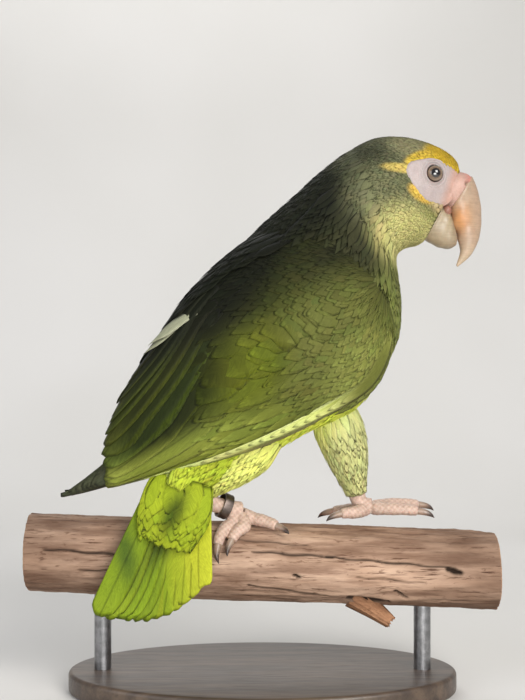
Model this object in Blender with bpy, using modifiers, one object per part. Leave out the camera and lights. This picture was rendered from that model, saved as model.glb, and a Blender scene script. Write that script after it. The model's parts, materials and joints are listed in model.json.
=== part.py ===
"""Yellow-faced amazon, life size, stepping along a cut length of branch on a plain display stand.

The parrot faces +X, its right side faces -Y, +Z is up. The origin is the middle of the
stand's underside. The body is one loft, parted into head, neck and trunk; the wings are
shells round it, and the tail is a fan that hangs in front of the branch.
"""

import math
from typing import NamedTuple

import bmesh
import bpy
import numpy as np

MM = 0.001
GAP = 0.3 * MM  # left between neighbours that touch

# Sides round each kind of loft, and where shading turns sharp.
BODY_SIDES = 22
THIGH_SIDES = 12
LIMB_SIDES = 10
BILL_SIDES = 14
SHARP_DEGREES = 40

# The branch: its axis crosses x = 0 at this height and falls towards +X.
PERCH_HEIGHT = 60.8 * MM
PERCH_SLOPE = -0.0385
PERCH_RADIUS = 18.8 * MM
PERCH_HALF_LENGTH = 110 * MM
PERCH_RINGS = 13
PERCH_SIDES = 16
STUB_ROOT = (43 * MM, -4 * MM, 46 * MM)
STUB_TIP = (60 * MM, -5 * MM, 33.5 * MM)
STUB_RADII = (6 * MM, 3.2 * MM)

# The stand.
BASE_HALF_LENGTH = 92 * MM
BASE_HALF_DEPTH = 50 * MM
BASE_THICKNESS = 10 * MM
BASE_EDGE = 2 * MM
BASE_SIDES = 44
ROD_RADIUS = 4 * MM
ROD_OFFSET = 76 * MM
ROD_HOLE_DEPTH = 7 * MM
ROD_SIDES = 14

# The eyes and the leg ring.
EYE_RADIUS = 4.6 * MM
EYE_PLACE = (80.6 * MM, 244.2 * MM)  # x, z
EYE_STATION = 2.0  # where on the head's loft, and degrees from its top, the skin's y is read
EYE_DEGREES = 68
EYE_CENTRE_INSET = 3.5 * MM  # below the skin, so that a low dome shows
RING_CENTRE = (-17.8 * MM, -9.7 * MM, 88.5 * MM)
RING_RADIUS = 5.2 * MM
RING_WALL = 0.8 * MM
RING_WIDTH = 4.4 * MM
RING_AXIS = (0.86, 0.30, -0.40)  # along the shank
RING_STEPS = 24

# The tail fan: roots and tips as (x, z) at its +X edge and at its -X edge.
TAIL_ROOTS = ((-25.5 * MM, 104 * MM), (-47 * MM, 108 * MM))
TAIL_TIPS = ((-26 * MM, 54.5 * MM), (-77 * MM, 39 * MM))
TAIL_TIP_BULGE = 9 * MM  # how far the middle feathers' ends drop below the line between those
TAIL_FRONT = -21 * MM  # y at the roots
TAIL_SWEEP = 7 * MM  # how far the tips stand in front of the roots
TAIL_BOWL = 5 * MM  # how far the outer tips stand in front of the middle ones
TAIL_STEP = 0.5 * MM  # from each feather to the next
TAIL_NOTCH = 0.025  # between rounded ends, as a share of the length
TAIL_FEATHERS = 12
TAIL_THICKNESS = 1.6 * MM

# The pad of coverts under the tail, in millimetres: a limb flattened in y.
UNDERTAIL_PATH = ((-35.5, -29.5, 102), (-38.5, -31.5, 93), (-41.5, -33, 83), (-44.5, -34.4, 72))
UNDERTAIL_RADII = (15.5, 17.5, 16.5, 11)
UNDERTAIL_FLATNESS = 0.18


class Section(NamedTuple):
    """One station of a loft: top and bottom as (x, z), middle y and half width, in millimetres.

    power is the superellipse's exponent: 2 is an ellipse and more is boxier. pear above 0
    carries the widest place towards the bottom.
    """

    top: tuple
    bottom: tuple
    y: float
    half_width: float
    power: float = 2.0
    pear: float = 0.0


class Limb(NamedTuple):
    """A round, smooth path and its radii, in millimetres."""

    path: tuple
    radii: tuple


BODY = (
    Section((95.4, 247.2), (77.7, 213.0), 6, 9.5, 2.2, 0.05),  # bill base
    Section((91.2, 254.4), (73.9, 211.5), 6, 13.0, 2.2, 0.10),  # lores
    Section((81.6, 260.6), (69.6, 210.0), 6, 17.5, 2.2, 0.14),  # eyes
    Section((67.2, 264.4), (66.7, 208.1), 6, 21.0, 2.2, 0.14),  # crown
    Section((50.8, 263.0), (65.2, 205.7), 6, 23.5, 2.2, 0.08),  # nape
    Section((32.4, 251.7), (65.6, 198.9), 5, 26.0, 2.1, 0.04),  # hind neck
    Section((10.8, 233.2), (67.7, 179.6), 3, 29.5, 2.1, 0.0),  # mantle and crop
    Section((-8.3, 215.8), (64.6, 161.4), 1, 33.0, 2.1, 0.0),  # shoulders and breast
    Section((-23.5, 195.5), (47.8, 134.5), -1, 34.0, 2.1, 0.0),  # middle
    Section((-39.0, 175.0), (19.6, 119.6), -4, 31.0, 2.0, -0.04),  # hind back and belly
    Section((-46.5, 150.0), (-3.0, 106.5), -9, 24.5, 2.0, -0.06),  # rump and vent
    Section((-50.5, 127.0), (-18.5, 99.0), -15, 18.0, 2.0, 0.0),  # tail coverts
    Section((-53.0, 108.0), (-31.5, 93.5), -20, 13.0, 2.0, 0.0),  # tail base
)
HEAD_ENDS = 4.25  # stations, counted from the bill base
NECK_ENDS = 6.3
PARTING = 0.03  # stations left out on each side of a parting
HEAD_RINGS = 11
NECK_RINGS = 6
TRUNK_RINGS = 15

CERE = (
    Section((95.7, 246.8), (87.5, 231.0), 6, 8.6, 2.2, 0.1),
    Section((98.6, 245.9), (88.6, 229.9), 6, 8.2, 2.2, 0.1),
    Section((100.6, 244.2), (89.6, 228.6), 6, 7.4, 2.2, 0.1),
)
UPPER_BILL = (
    Section((101.0, 243.9), (90.0, 228.3), 6, 7.1, 2.1, 0.15),
    Section((104.2, 234.6), (90.9, 223.5), 6, 6.4, 2.0, 0.15),
    Section((105.2, 224.9), (92.4, 218.2), 6, 5.2, 2.0, 0.1),
    Section((104.2, 215.3), (94.3, 212.9), 6, 3.9, 2.0, 0.0),
    Section((100.4, 207.2), (95.0, 208.4), 6, 2.4, 2.0, 0.0),
    Section((94.0, 201.4), (93.2, 202.2), 6, 0.5, 2.0, 0.0),
)
LOWER_BILL = (
    Section((87.6, 229.6), (78.8, 213.9), 6, 7.2, 2.2, -0.1),
    Section((90.6, 226.2), (84.2, 211.0), 6, 6.6, 2.2, -0.1),
    Section((92.2, 221.2), (89.6, 210.0), 6, 5.2, 2.2, 0.0),
    Section((93.6, 216.4), (93.0, 211.6), 6, 2.6, 2.2, 0.0),
)
CERE_RINGS = 3
UPPER_BILL_RINGS = 11
LOWER_BILL_RINGS = 7

# The folded wing's outer surface, from the shoulder to the tip.
WING = (
    Section((42.0, 219.0), (66.5, 171.0), 4, 29.0, 2.3, 0.0),
    Section((20.0, 224.5), (67.5, 156.5), 3, 36.5, 2.4, 0.0),
    Section((-2.0, 216.5), (56.0, 136.5), 1, 39.0, 2.6, 0.03),
    Section((-20.0, 203.0), (30.0, 122.5), -1, 39.5, 2.8, 0.08),
    Section((-36.6, 185.4), (4.0, 113.5), -4, 37.5, 3.0, 0.12),
    Section((-50.6, 163.6), (-20.6, 108.0), -8, 32.5, 3.0, 0.15),
    Section((-64.1, 141.6), (-43.6, 103.5), -13, 25.0, 3.0, 0.12),
    Section((-75.2, 119.4), (-62.3, 99.6), -18, 17.0, 2.8, 0.08),
    Section((-86.4, 104.0), (-78.8, 95.6), -22, 10.5, 2.5, 0.0),
    Section((-95.2, 94.6), (-93.4, 92.6), -24, 6.5, 2.2, 0.0),
)
WING_TOP_ANGLES = (68, 50, 30, 13, 5, 3, 3, 4, 8, 14)  # degrees from the top, by station
WING_BOTTOM_ANGLES = (118, 136, 148, 154, 158, 162, 164, 164, 160, 150)
WING_MIDDLE_ANGLES = (90, 100, 108, 112, 116, 122, 130, 140, 150, 150)
COVERTS_END = 4.1
SECONDARIES_END = 7.45
COVERT_THICKNESS = 7 * MM  # cut back to the trunk's side
SECONDARY_THICKNESS = 1.5 * MM
PRIMARY_THICKNESS = 1.1 * MM
PRIMARY_DEPTH = 2.1 * MM  # of the primaries' outer surface under the secondaries
COVERT_GRID = (10, 9)  # places along and across
SECONDARY_GRID = (10, 7)
PRIMARY_GRID = (15, 6)
WING_SPACE_GRID = (24, 12)

THIGHS = {
    "right": Limb(
        ((4, -10, 122), (-5, -14, 114), (-15, -15.5, 105.5), (-25, -14.5, 97)),
        (10, 11.5, 9.5, 5.4),
    ),
    "left": Limb(
        ((33, 4, 136), (36, 6, 126), (40.5, 10, 112), (45.6, 13, 92)),
        (11, 13, 11.5, 5.8),
    ),
}
SHANKS = {
    "right": Limb(
        ((-26.5, -14.2, 93.2), (-22, -12.0, 89.6), (-16.5, -9.2, 87.6), (-11, -6.4, 85.8)),
        (4.6, 4.0, 3.9, 4.6),
    ),
    "left": Limb(
        ((46.0, 13, 91.2), (46.8, 13.2, 88.4), (49.0, 13.2, 86.0), (52.2, 13, 85.0)),
        (4.4, 4.0, 4.1, 4.4),
    ),
}
THIGH_RINGS = 7
SHANK_RINGS = 6

# The gripping foot's toes as x in millimetres and degrees from the branch's top towards
# -Y, and the lifted foot's toes as points in millimetres.
GRIPPING_TOES = {
    "right_outer": ((-14.6, 29), (-17.4, 39), (-19.6, 51), (-20.6, 63)),
    "right_inner": ((-8.4, 33), (-11.0, 40), (-13.0, 48), (-14.4, 56)),
    "right_ahead": ((-4.8, 15), (-0.4, 20), (3.6, 25), (7.0, 31)),
    "right_back": ((-9.6, -1), (-9.2, -16), (-9.4, -31), (-10.0, -46)),
}
LIFTED_TOES = {
    "left_outer": ((57.2, 16.8, 85.0), (64.0, 18.4, 85.6), (71.0, 19.6, 85.6), (77.5, 20.6, 85.0)),
    "left_inner": ((57.2, 9.6, 84.6), (63.4, 8.0, 84.6), (69.4, 6.8, 84.4), (75.4, 6.0, 83.8)),
    "left_back_outer": ((46.6, 19.4, 83.0), (42.6, 21.4, 82.4), (38.8, 22.4, 82.0), (34.6, 23.0, 81.4)),
    "left_back_inner": ((46.0, 7.6, 83.4), (43.0, 5.6, 83.2), (40.4, 4.4, 83.2), (37.4, 3.6, 82.8)),
}
TOE_LIFT = 3.1 * MM  # of a gripping toe's middle off the bark
TOE_RADII = (3.0, 2.8, 2.5, 2.1)  # millimetres
CLAW_RADII = (1.7, 1.4, 0.9, 0.3)
CLAW_STEPS = ((0.0, 0.0), (3.0, 0.4), (5.6, 1.6), (7.4, 3.4))  # ahead and down from its root
CLAW_CURL = 3.0  # a gripping claw's bend for its toe's
LIFTED_CLAW_DROP = 0.7


def material(name, colour, roughness, metallic=0.0):
    """A plain Principled material."""
    made = bpy.data.materials.new(name)
    made.use_nodes = True
    shader = made.node_tree.nodes["Principled BSDF"]
    shader.inputs["Base Color"].default_value = (*colour, 1.0)
    shader.inputs["Roughness"].default_value = roughness
    shader.inputs["Metallic"].default_value = metallic
    made.diffuse_color = (*colour, 1.0)
    return made


def new_collection(name):
    """A collection linked to the scene."""
    made = bpy.data.collections.new(name)
    bpy.context.scene.collection.children.link(made)
    return made


def clear_scene():
    """Removes whatever the new file holds."""
    for thing in list(bpy.data.objects):
        bpy.data.objects.remove(thing, do_unlink=True)


def add_object(name, mesh, collection, finish=None):
    """Wraps a mesh or curve in an object of the collection."""
    made = bpy.data.objects.new(name, mesh)
    collection.objects.link(made)
    if finish:
        mesh.materials.append(finish)
    return made


def add_cutter(name, mesh, collection):
    """An object that only cuts or joins others."""
    made = add_object(name, mesh, collection)
    made.hide_render = True
    made.display_type = "WIRE"
    return made


def boolean(obj, operation, other):
    """Adds a live Boolean with another object."""
    cut = obj.modifiers.new(operation.title() + " " + other.name, "BOOLEAN")
    cut.operation = operation
    cut.solver = "EXACT"
    cut.object = other


def finished_mesh(name, points, faces):
    """A smooth-shaded mesh of these points, its normals turned outwards."""
    mesh = bpy.data.meshes.new(name)
    mesh.from_pydata(points.tolist(), [], faces)
    form = bmesh.new()
    form.from_mesh(mesh)
    bmesh.ops.recalc_face_normals(form, faces=form.faces)
    if form.calc_volume(signed=True) < 0:
        bmesh.ops.reverse_faces(form, faces=form.faces)
    form.to_mesh(mesh)
    form.free()
    mesh.shade_smooth()
    mesh.set_sharp_from_angle(angle=math.radians(SHARP_DEGREES))
    return mesh


def tube_mesh(name, rings):
    """A closed loft through rings of equal count, with a flat cap at each end."""
    count, sides = rings.shape[:2]
    faces = [
        (
            i * sides + j,
            i * sides + (j + 1) % sides,
            (i + 1) * sides + (j + 1) % sides,
            (i + 1) * sides + j,
        )
        for i in range(count - 1)
        for j in range(sides)
    ]
    faces.append(tuple(range(sides)))
    faces.append(tuple(range((count - 1) * sides, count * sides)))
    return finished_mesh(name, rings.reshape(-1, 3), faces)


def shell_mesh(name, outer, inner):
    """A closed blade between two grids of equal shape, joined round their border."""
    rows, columns = outer.shape[:2]
    size = rows * columns

    def at(row, column):
        return row * columns + column

    faces = []
    for i in range(rows - 1):
        for j in range(columns - 1):
            quad = (at(i, j), at(i, j + 1), at(i + 1, j + 1), at(i + 1, j))
            faces.append(quad)
            faces.append(tuple(size + k for k in reversed(quad)))
    border = [at(0, j) for j in range(columns)]
    border += [at(i, columns - 1) for i in range(1, rows)]
    border += [at(rows - 1, j) for j in range(columns - 2, -1, -1)]
    border += [at(i, 0) for i in range(rows - 2, 0, -1)]
    for a, b in zip(border, border[1:] + border[:1]):
        faces.append((b, a, size + a, size + b))
    points = np.concatenate([outer.reshape(-1, 3), inner.reshape(-1, 3)])
    return finished_mesh(name, points, faces)


def spline(values, at):
    """Catmull-Rom through rows of values, read at station numbers that may be fractions."""
    values = np.asarray(values, float)
    last = len(values) - 1
    at = np.clip(np.asarray(at, float), 0, last)
    start = np.minimum(at.astype(int), last - 1)
    part = (at - start).reshape(at.shape + (1,) * (values.ndim - 1))
    padded = np.concatenate(
        [2 * values[:1] - values[1:2], values, 2 * values[-1:] - values[-2:-1]]
    )
    before, here, there, after = (padded[start + k] for k in range(4))
    return 0.5 * (
        2 * here
        + (there - before) * part
        + (2 * before - 5 * here + 4 * there - after) * part**2
        + (3 * here - before - 3 * there + after) * part**3
    )


def section_points(sections, at, angles, side=1.0):
    """Points of a loft at stations and at angles from its top, in metres.

    A point is the section's middle, plus cos(angle) of the half height along the line from
    bottom to top, plus sin(angle) of the half width along Y, both bent by the power.
    """
    rows = [(*s.top, *s.bottom, s.y, s.half_width, s.power, s.pear) for s in sections]
    table = spline(rows, at)
    top_x, top_z, low_x, low_z, y, width, power, pear = np.moveaxis(table, -1, 0)
    up = np.cos(angles)
    out = np.sin(angles)
    rise = np.sign(up) * np.abs(up) ** (2 / power)
    reach = np.sign(out) * np.abs(out) ** (2 / power)
    x = (top_x + low_x) / 2 + rise * (top_x - low_x) / 2
    z = (top_z + low_z) / 2 + rise * (top_z - low_z) / 2
    across = y + side * reach * width * (1 - pear * rise)
    return np.stack([x, across, z], axis=-1) * MM


def loft_rings(sections, span, count, sides, grow=0.0):
    """Rings of a loft between two stations, moved out from their middles by grow."""
    at = np.linspace(*span, count)[:, None]
    turn = np.arange(sides)[None, :] * 2 * math.pi / sides
    rings = section_points(sections, at, turn)
    if grow:
        spoke = rings - rings.mean(axis=1, keepdims=True)
        rings = rings + grow * spoke / np.linalg.norm(spoke, axis=2, keepdims=True)
    return rings


def unit(vectors):
    """Vectors at length 1."""
    return vectors / np.linalg.norm(vectors, axis=-1, keepdims=True)


def grid_normals(points):
    """Unit normals of a grid of points, by the cross product of its two gradients."""
    along = np.gradient(points, axis=0)
    across = np.gradient(points, axis=1)
    return unit(np.cross(along, across))


def wing_grid(side, start, end, low_share, high_share, shape):
    """The wing's outer surface between two shares of its width, 0 at the top edge."""
    at = np.linspace(start, end, shape[0])[:, None]
    top = spline(np.array(WING_TOP_ANGLES, float), at)
    bottom = spline(np.array(WING_BOTTOM_ANGLES, float), at)
    share = np.linspace(0, 1, shape[1])[None, :]
    share = low_share(at) + (high_share(at) - low_share(at)) * share
    angles = np.radians(top + (bottom - top) * share)
    return section_points(WING, at, angles, side)


def middle_share(at):
    """The share of the wing's width where secondaries meet primaries."""
    top = spline(np.array(WING_TOP_ANGLES, float), at)
    middle = spline(np.array(WING_MIDDLE_ANGLES, float), at)
    bottom = spline(np.array(WING_BOTTOM_ANGLES, float), at)
    return (middle - top) / (bottom - top)


def smooth_step(value, low, high):
    """0 below low, 1 above high and an eased rise between them."""
    part = np.clip((value - low) / (high - low), 0, 1)
    return part * part * (3 - 2 * part)


def inward(points, side, distance):
    """The grid moved against its outward normal."""
    return points + side * grid_normals(points) * distance


def wing_coverts(side):
    """The thick front of the wing, thinner towards its edges."""
    outer = wing_grid(side, 0, COVERTS_END, np.zeros_like, np.ones_like, COVERT_GRID)
    row = np.linspace(0, 1, outer.shape[0])[:, None, None]
    column = np.linspace(0, 1, outer.shape[1])[None, :, None]
    rim = np.minimum(smooth_step(row, -0.1, 0.25), smooth_step(column * (1 - column), -0.02, 0.12))
    rim = np.maximum(rim, 0.35)
    return outer, inward(outer, side, COVERT_THICKNESS * rim)


def wing_secondaries(side):
    """The upper blade behind the coverts."""
    start = COVERTS_END + PARTING
    outer = wing_grid(side, start, SECONDARIES_END, np.zeros_like, middle_share, SECONDARY_GRID)
    return outer, inward(outer, side, SECONDARY_THICKNESS)


def wing_primaries(side):
    """The lower blade, under the secondaries, out to the wing's tip."""

    def tucked(at):
        """The upper edge hides under the secondaries, and rises past their ends."""
        covered = middle_share(at) - 0.10
        return covered * (1 - smooth_step(at, SECONDARIES_END - 2.0, SECONDARIES_END))

    grid = wing_grid(side, COVERTS_END + PARTING, len(WING) - 1, tucked, np.ones_like, PRIMARY_GRID)
    at = np.linspace(COVERTS_END, len(WING) - 1, grid.shape[0])[:, None, None]
    depth = PRIMARY_DEPTH * (1 - 0.75 * smooth_step(at, SECONDARIES_END + 0.1, 8.4))
    return inward(grid, side, depth), inward(grid, side, depth + PRIMARY_THICKNESS)


def wing_space(side):
    """All that the wing fills and a gap round it, for cutting its neighbours."""

    def past_edge(at):
        """A little over the wing's lower edge."""
        return np.full_like(at, 1.03)

    grid = wing_grid(side, 0, len(WING) - 1, np.zeros_like, past_edge, WING_SPACE_GRID)
    at = np.linspace(0, len(WING) - 1, grid.shape[0])[:, None, None]
    behind = smooth_step(at, COVERTS_END + 0.3, COVERTS_END + 0.7)
    blade = PRIMARY_DEPTH + PRIMARY_THICKNESS + GAP
    depth = COVERT_THICKNESS * (1 - behind) + blade * behind
    return inward(grid, side, -2 * GAP), inward(grid, side, depth)


def tail_grid():
    """The tail's underside: rows from the root to the tips, columns across the feathers.

    Each feather runs from its root to its tip, where the line of tips drops by a sine. Its
    end is rounded by a sine across it, and it overlaps the next by a small step.
    """
    across = np.linspace(0, 1, 2 * TAIL_FEATHERS + 1)[None, :, None]
    down = np.linspace(0, 1, 7)[:, None, None]
    roots = np.array(TAIL_ROOTS[0]) * (1 - across) + np.array(TAIL_ROOTS[1]) * across
    tips = np.array(TAIL_TIPS[0]) * (1 - across) + np.array(TAIL_TIPS[1]) * across
    tips = tips - np.array((0, TAIL_TIP_BULGE)) * np.sin(math.pi * across**0.8)
    within = np.abs(np.sin(across * TAIL_FEATHERS * math.pi))
    share = down - TAIL_NOTCH * (1 - within) * smooth_step(down, 0.7, 1.0)
    flat = roots * (1 - share) + tips * share
    step = TAIL_STEP * ((across * TAIL_FEATHERS) % 1.0)
    bowl = TAIL_BOWL * (2 * across - 1) ** 2
    y = TAIL_FRONT - (TAIL_SWEEP + bowl) * down + step
    return np.concatenate([flat[..., :1], y, flat[..., 1:]], axis=-1)


def limb_rings(path, radii, rings, sides=LIMB_SIDES):
    """Rings at right angles to a smooth path, with the radii eased along it."""
    at = np.linspace(0, len(path) - 1, rings)
    middle = spline(np.array(path), at)
    radius = spline(np.array(radii, float), at)[:, None, None]
    ahead = unit(np.gradient(middle, axis=0))
    first = unit(np.cross(ahead, (0.0, 1.0, 0.0)))
    second = np.cross(ahead, first)
    turn = (np.arange(sides) * 2 * math.pi / sides)[None, :, None]
    spoke = np.cos(turn) * first[:, None] + np.sin(turn) * second[:, None]
    return middle[:, None] + spoke * radius


def taper_curve(name, path, radii, collection, finish):
    """A round piece along a smooth path as a bevelled curve, each point with its own radius."""
    curve = bpy.data.curves.new(name, "CURVE")
    curve.dimensions = "3D"
    curve.bevel_depth = 1.0
    curve.bevel_resolution = 2
    curve.use_fill_caps = True
    line = curve.splines.new("POLY")
    steps = 2 * len(path) - 2
    at = np.linspace(0, len(path) - 1, steps)
    points = spline(np.array(path), at)
    widths = spline(np.array(radii, float), at)
    line.points.add(steps - 1)
    for point, place, width in zip(line.points, points, widths):
        point.co = (*place, 1.0)
        point.radius = width
    return add_object(name, curve, collection, finish)


def perch_axis(x):
    """The height of the branch's axis."""
    return PERCH_HEIGHT + PERCH_SLOPE * x


def perch_surface(x, degrees, lift):
    """A point over the branch, degrees from its top towards -Y, lifted off its bark."""
    reach = PERCH_RADIUS + lift
    turn = math.radians(degrees)
    return (x, -reach * math.sin(turn), perch_axis(x) + reach * math.cos(turn))


def build_body(parts, cutters, finishes):
    """Head, neck and trunk, and the grown trunk that cuts its neighbours."""
    last = len(BODY) - 1
    spans = (
        ("head", 0, HEAD_ENDS - PARTING, HEAD_RINGS),
        ("neck", HEAD_ENDS + PARTING, NECK_ENDS - PARTING, NECK_RINGS),
        ("trunk", NECK_ENDS + PARTING, last, TRUNK_RINGS),
    )
    made = {}
    for name, start, end, rings in spans:
        mesh = tube_mesh(name, loft_rings(BODY, (start, end), rings, BODY_SIDES))
        made[name] = add_object(name, mesh, parts, finishes[name])
    span = (NECK_ENDS - 2.2, last)
    grown = loft_rings(BODY, span, TRUNK_RINGS + 8, BODY_SIDES, grow=GAP * 1.3)
    grown[-1] += np.array((0.1, -0.1, -1.0)) * GAP
    cutter = add_cutter("trunk_space", tube_mesh("trunk_space", grown), cutters)
    return made, cutter


def build_eyes(parts, cutters, finishes, head):
    """A ball on each side of the head, in a socket a gap wider than itself."""
    for side_name, side in (("right", -1.0), ("left", 1.0)):
        angle = np.array([math.radians(EYE_DEGREES)])
        rim = section_points(BODY, np.array([EYE_STATION]), angle, side)[0]
        centre = (EYE_PLACE[0], rim[1] - side * EYE_CENTRE_INSET, EYE_PLACE[1])
        for name, radius, collection in (
            ("eye_" + side_name, EYE_RADIUS, parts),
            ("socket_" + side_name, EYE_RADIUS + GAP, cutters),
        ):
            mesh = bpy.data.meshes.new(name)
            form = bmesh.new()
            bmesh.ops.create_uvsphere(form, u_segments=14, v_segments=8, radius=radius)
            bmesh.ops.translate(form, verts=form.verts, vec=centre)
            form.to_mesh(mesh)
            form.free()
            mesh.shade_smooth()
            if collection is parts:
                add_object(name, mesh, parts, finishes["eye"])
            else:
                boolean(head, "DIFFERENCE", add_cutter(name, mesh, cutters))


def build_bill(parts, cutters, finishes):
    """The cere, the hooked upper bill, and the lower bill with both cut out of it."""
    spans = (
        ("cere", CERE, CERE_RINGS),
        ("upper_bill", UPPER_BILL, UPPER_BILL_RINGS),
        ("lower_bill", LOWER_BILL, LOWER_BILL_RINGS),
    )
    spaces = []
    for name, sections, rings in spans:
        span = (0, len(sections) - 1)
        mesh = tube_mesh(name, loft_rings(sections, span, rings, BILL_SIDES))
        piece = add_object(name, mesh, parts, finishes[name])
        if name == "lower_bill":
            for space in spaces:
                boolean(piece, "DIFFERENCE", space)
        else:
            grown = loft_rings(sections, span, rings, BILL_SIDES, grow=GAP)
            mesh = tube_mesh(name + "_space", grown)
            spaces.append(add_cutter(name + "_space", mesh, cutters))


def build_wings(parts, cutters, finishes, trunk_space):
    """Both wings: coverts in front, then the secondaries over the primaries."""
    groups = (
        ("coverts", wing_coverts),
        ("secondaries", wing_secondaries),
        ("primaries", wing_primaries),
    )
    spaces = {}
    for side_name, side in (("right", -1.0), ("left", 1.0)):
        for group, shape in groups:
            name = f"wing_{side_name}_{group}"
            outer, inner = shape(side)
            blade = add_object(name, shell_mesh(name, outer, inner), parts, finishes[group])
            boolean(blade, "DIFFERENCE", trunk_space)
        name = f"wing_{side_name}_space"
        spaces[side_name] = add_cutter(name, shell_mesh(name, *wing_space(side)), cutters)
    return spaces


def build_tail(parts, finishes, trunk_space, wing_spaces):
    """The fan of tail feathers and the soft coverts over its root."""
    under = tail_grid()
    upper = under + np.array((0.0, TAIL_THICKNESS, 0.0))
    tail = add_object("tail", shell_mesh("tail", under, upper), parts, finishes["tail"])
    rings = limb_rings(UNDERTAIL_PATH, UNDERTAIL_RADII, 7, 16) * MM
    middle = rings.mean(axis=1, keepdims=True)
    flat = np.array((1.0, UNDERTAIL_FLATNESS, 1.0))
    mesh = tube_mesh("undertail_coverts", middle + (rings - middle) * flat)
    coverts = add_object("undertail_coverts", mesh, parts, finishes["undertail_coverts"])
    for blade in (tail, coverts):
        boolean(blade, "DIFFERENCE", trunk_space)
        boolean(blade, "DIFFERENCE", wing_spaces["right"])


def build_legs(parts, cutters, finishes, trunk_space, wing_spaces):
    """Feathered thighs, bare shanks, eight toes and their claws."""
    for side, thigh in THIGHS.items():
        name = "thigh_" + side
        path = np.array(thigh.path) * MM
        radii = np.array(thigh.radii) * MM
        mesh = tube_mesh(name, limb_rings(path, radii, THIGH_RINGS, THIGH_SIDES))
        feathered = add_object(name, mesh, parts, finishes["thigh"])
        boolean(feathered, "DIFFERENCE", trunk_space)
        boolean(feathered, "DIFFERENCE", wing_spaces[side])
        path[-1] += GAP * unit(path[-1] - path[-2])
        rings = limb_rings(path, radii + GAP, THIGH_RINGS, THIGH_SIDES)
        space = add_cutter(name + "_space", tube_mesh(name + "_space", rings), cutters)
        name = "shank_" + side
        mesh = tube_mesh(name, limb_rings(*SHANKS[side], SHANK_RINGS) * MM)
        bare = add_object(name, mesh, parts, finishes["foot"])
        boolean(bare, "DIFFERENCE", space)
        boolean(bare, "DIFFERENCE", trunk_space)
    for name, places in GRIPPING_TOES.items():
        path = [perch_surface(x * MM, turn, TOE_LIFT) for x, turn in places]
        build_toe(name, np.array(path), parts, finishes)
    for name, points in LIFTED_TOES.items():
        build_toe(name, np.array(points) * MM, parts, finishes)


def build_toe(name, path, parts, finishes):
    """A padded toe, and a claw that starts a gap past its end and bends down as it does."""
    taper_curve("toe_" + name, path, np.array(TOE_RADII) * MM, parts, finishes["foot"])
    ahead = unit(path[-1] - path[-2])
    down = np.array((0.0, 0.0, -LIFTED_CLAW_DROP))
    if name in GRIPPING_TOES:
        down = CLAW_CURL * (ahead - unit(path[-2] - path[-3]))
    start = path[-1] + ahead * GAP
    claw = [start + (ahead * far + down * low) * MM for far, low in CLAW_STEPS]
    taper_curve("claw_" + name, claw, np.array(CLAW_RADII) * MM, parts, finishes["claw"])


def build_ring(parts, finishes):
    """The flat metal band round the right shank: a turned wall, its axis along the shank."""
    outer = RING_RADIUS + RING_WALL
    profile = (
        (RING_RADIUS, -RING_WIDTH / 2),
        (RING_RADIUS, RING_WIDTH / 2),
        (outer, RING_WIDTH / 2),
        (outer, -RING_WIDTH / 2),
    )
    steps = RING_STEPS
    turn = np.arange(steps) * 2 * math.pi / steps
    axis = unit(np.array(RING_AXIS))
    first = unit(np.cross(axis, (0.0, 1.0, 0.0)))
    second = np.cross(axis, first)
    spokes = np.cos(turn)[:, None] * first + np.sin(turn)[:, None] * second
    points = [spokes * r + axis * h for r, h in profile]
    points = np.concatenate(points) + np.array(RING_CENTRE)
    faces = [
        (k * steps + i, k * steps + (i + 1) % steps, m * steps + (i + 1) % steps, m * steps + i)
        for k, m in ((0, 1), (1, 2), (2, 3), (3, 0))
        for i in range(steps)
    ]
    add_object("leg_ring", finished_mesh("leg_ring", points, faces), parts, finishes["ring"])


def cylinder(name, radius, low, high, place):
    """An upright round bar as a mesh."""
    mesh = bpy.data.meshes.new(name)
    form = bmesh.new()
    bmesh.ops.create_cone(
        form, cap_ends=True, segments=ROD_SIDES, radius1=radius, radius2=radius, depth=high - low
    )
    bmesh.ops.translate(form, verts=form.verts, vec=(*place, (low + high) / 2))
    form.to_mesh(mesh)
    form.free()
    mesh.shade_smooth()
    mesh.set_sharp_from_angle(angle=math.radians(SHARP_DEGREES))
    return mesh


def build_perch(parts, cutters, finishes):
    """The cut branch with uneven bark, a broken stub below it, and its rod holes."""
    x = np.linspace(-PERCH_HALF_LENGTH, PERCH_HALF_LENGTH, PERCH_RINGS)[:, None]
    turn = np.arange(PERCH_SIDES)[None, :] * 2 * math.pi / PERCH_SIDES
    along = x / PERCH_HALF_LENGTH
    radius = PERCH_RADIUS * (
        1 - 0.015 * along
        - 0.02 * (1 - np.cos(2 * turn + 1.3 * along))
        - 0.012 * (1 + np.sin(3 * turn - 4 * along + 1.0))
    )
    y = -radius * np.sin(turn)
    z = perch_axis(x) + radius * np.cos(turn)
    rings = np.stack([np.broadcast_to(x, y.shape), y, z], axis=-1)
    perch = add_object("perch", tube_mesh("perch", rings), parts, finishes["perch"])
    stub_path = np.array([STUB_ROOT, (np.array(STUB_ROOT) + np.array(STUB_TIP)) / 2, STUB_TIP])
    stub_radii = (STUB_RADII[0], sum(STUB_RADII) / 2, STUB_RADII[1])
    stub = add_cutter("stub", tube_mesh("stub", limb_rings(stub_path, stub_radii, 3)), cutters)
    boolean(perch, "UNION", stub)
    return perch


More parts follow.
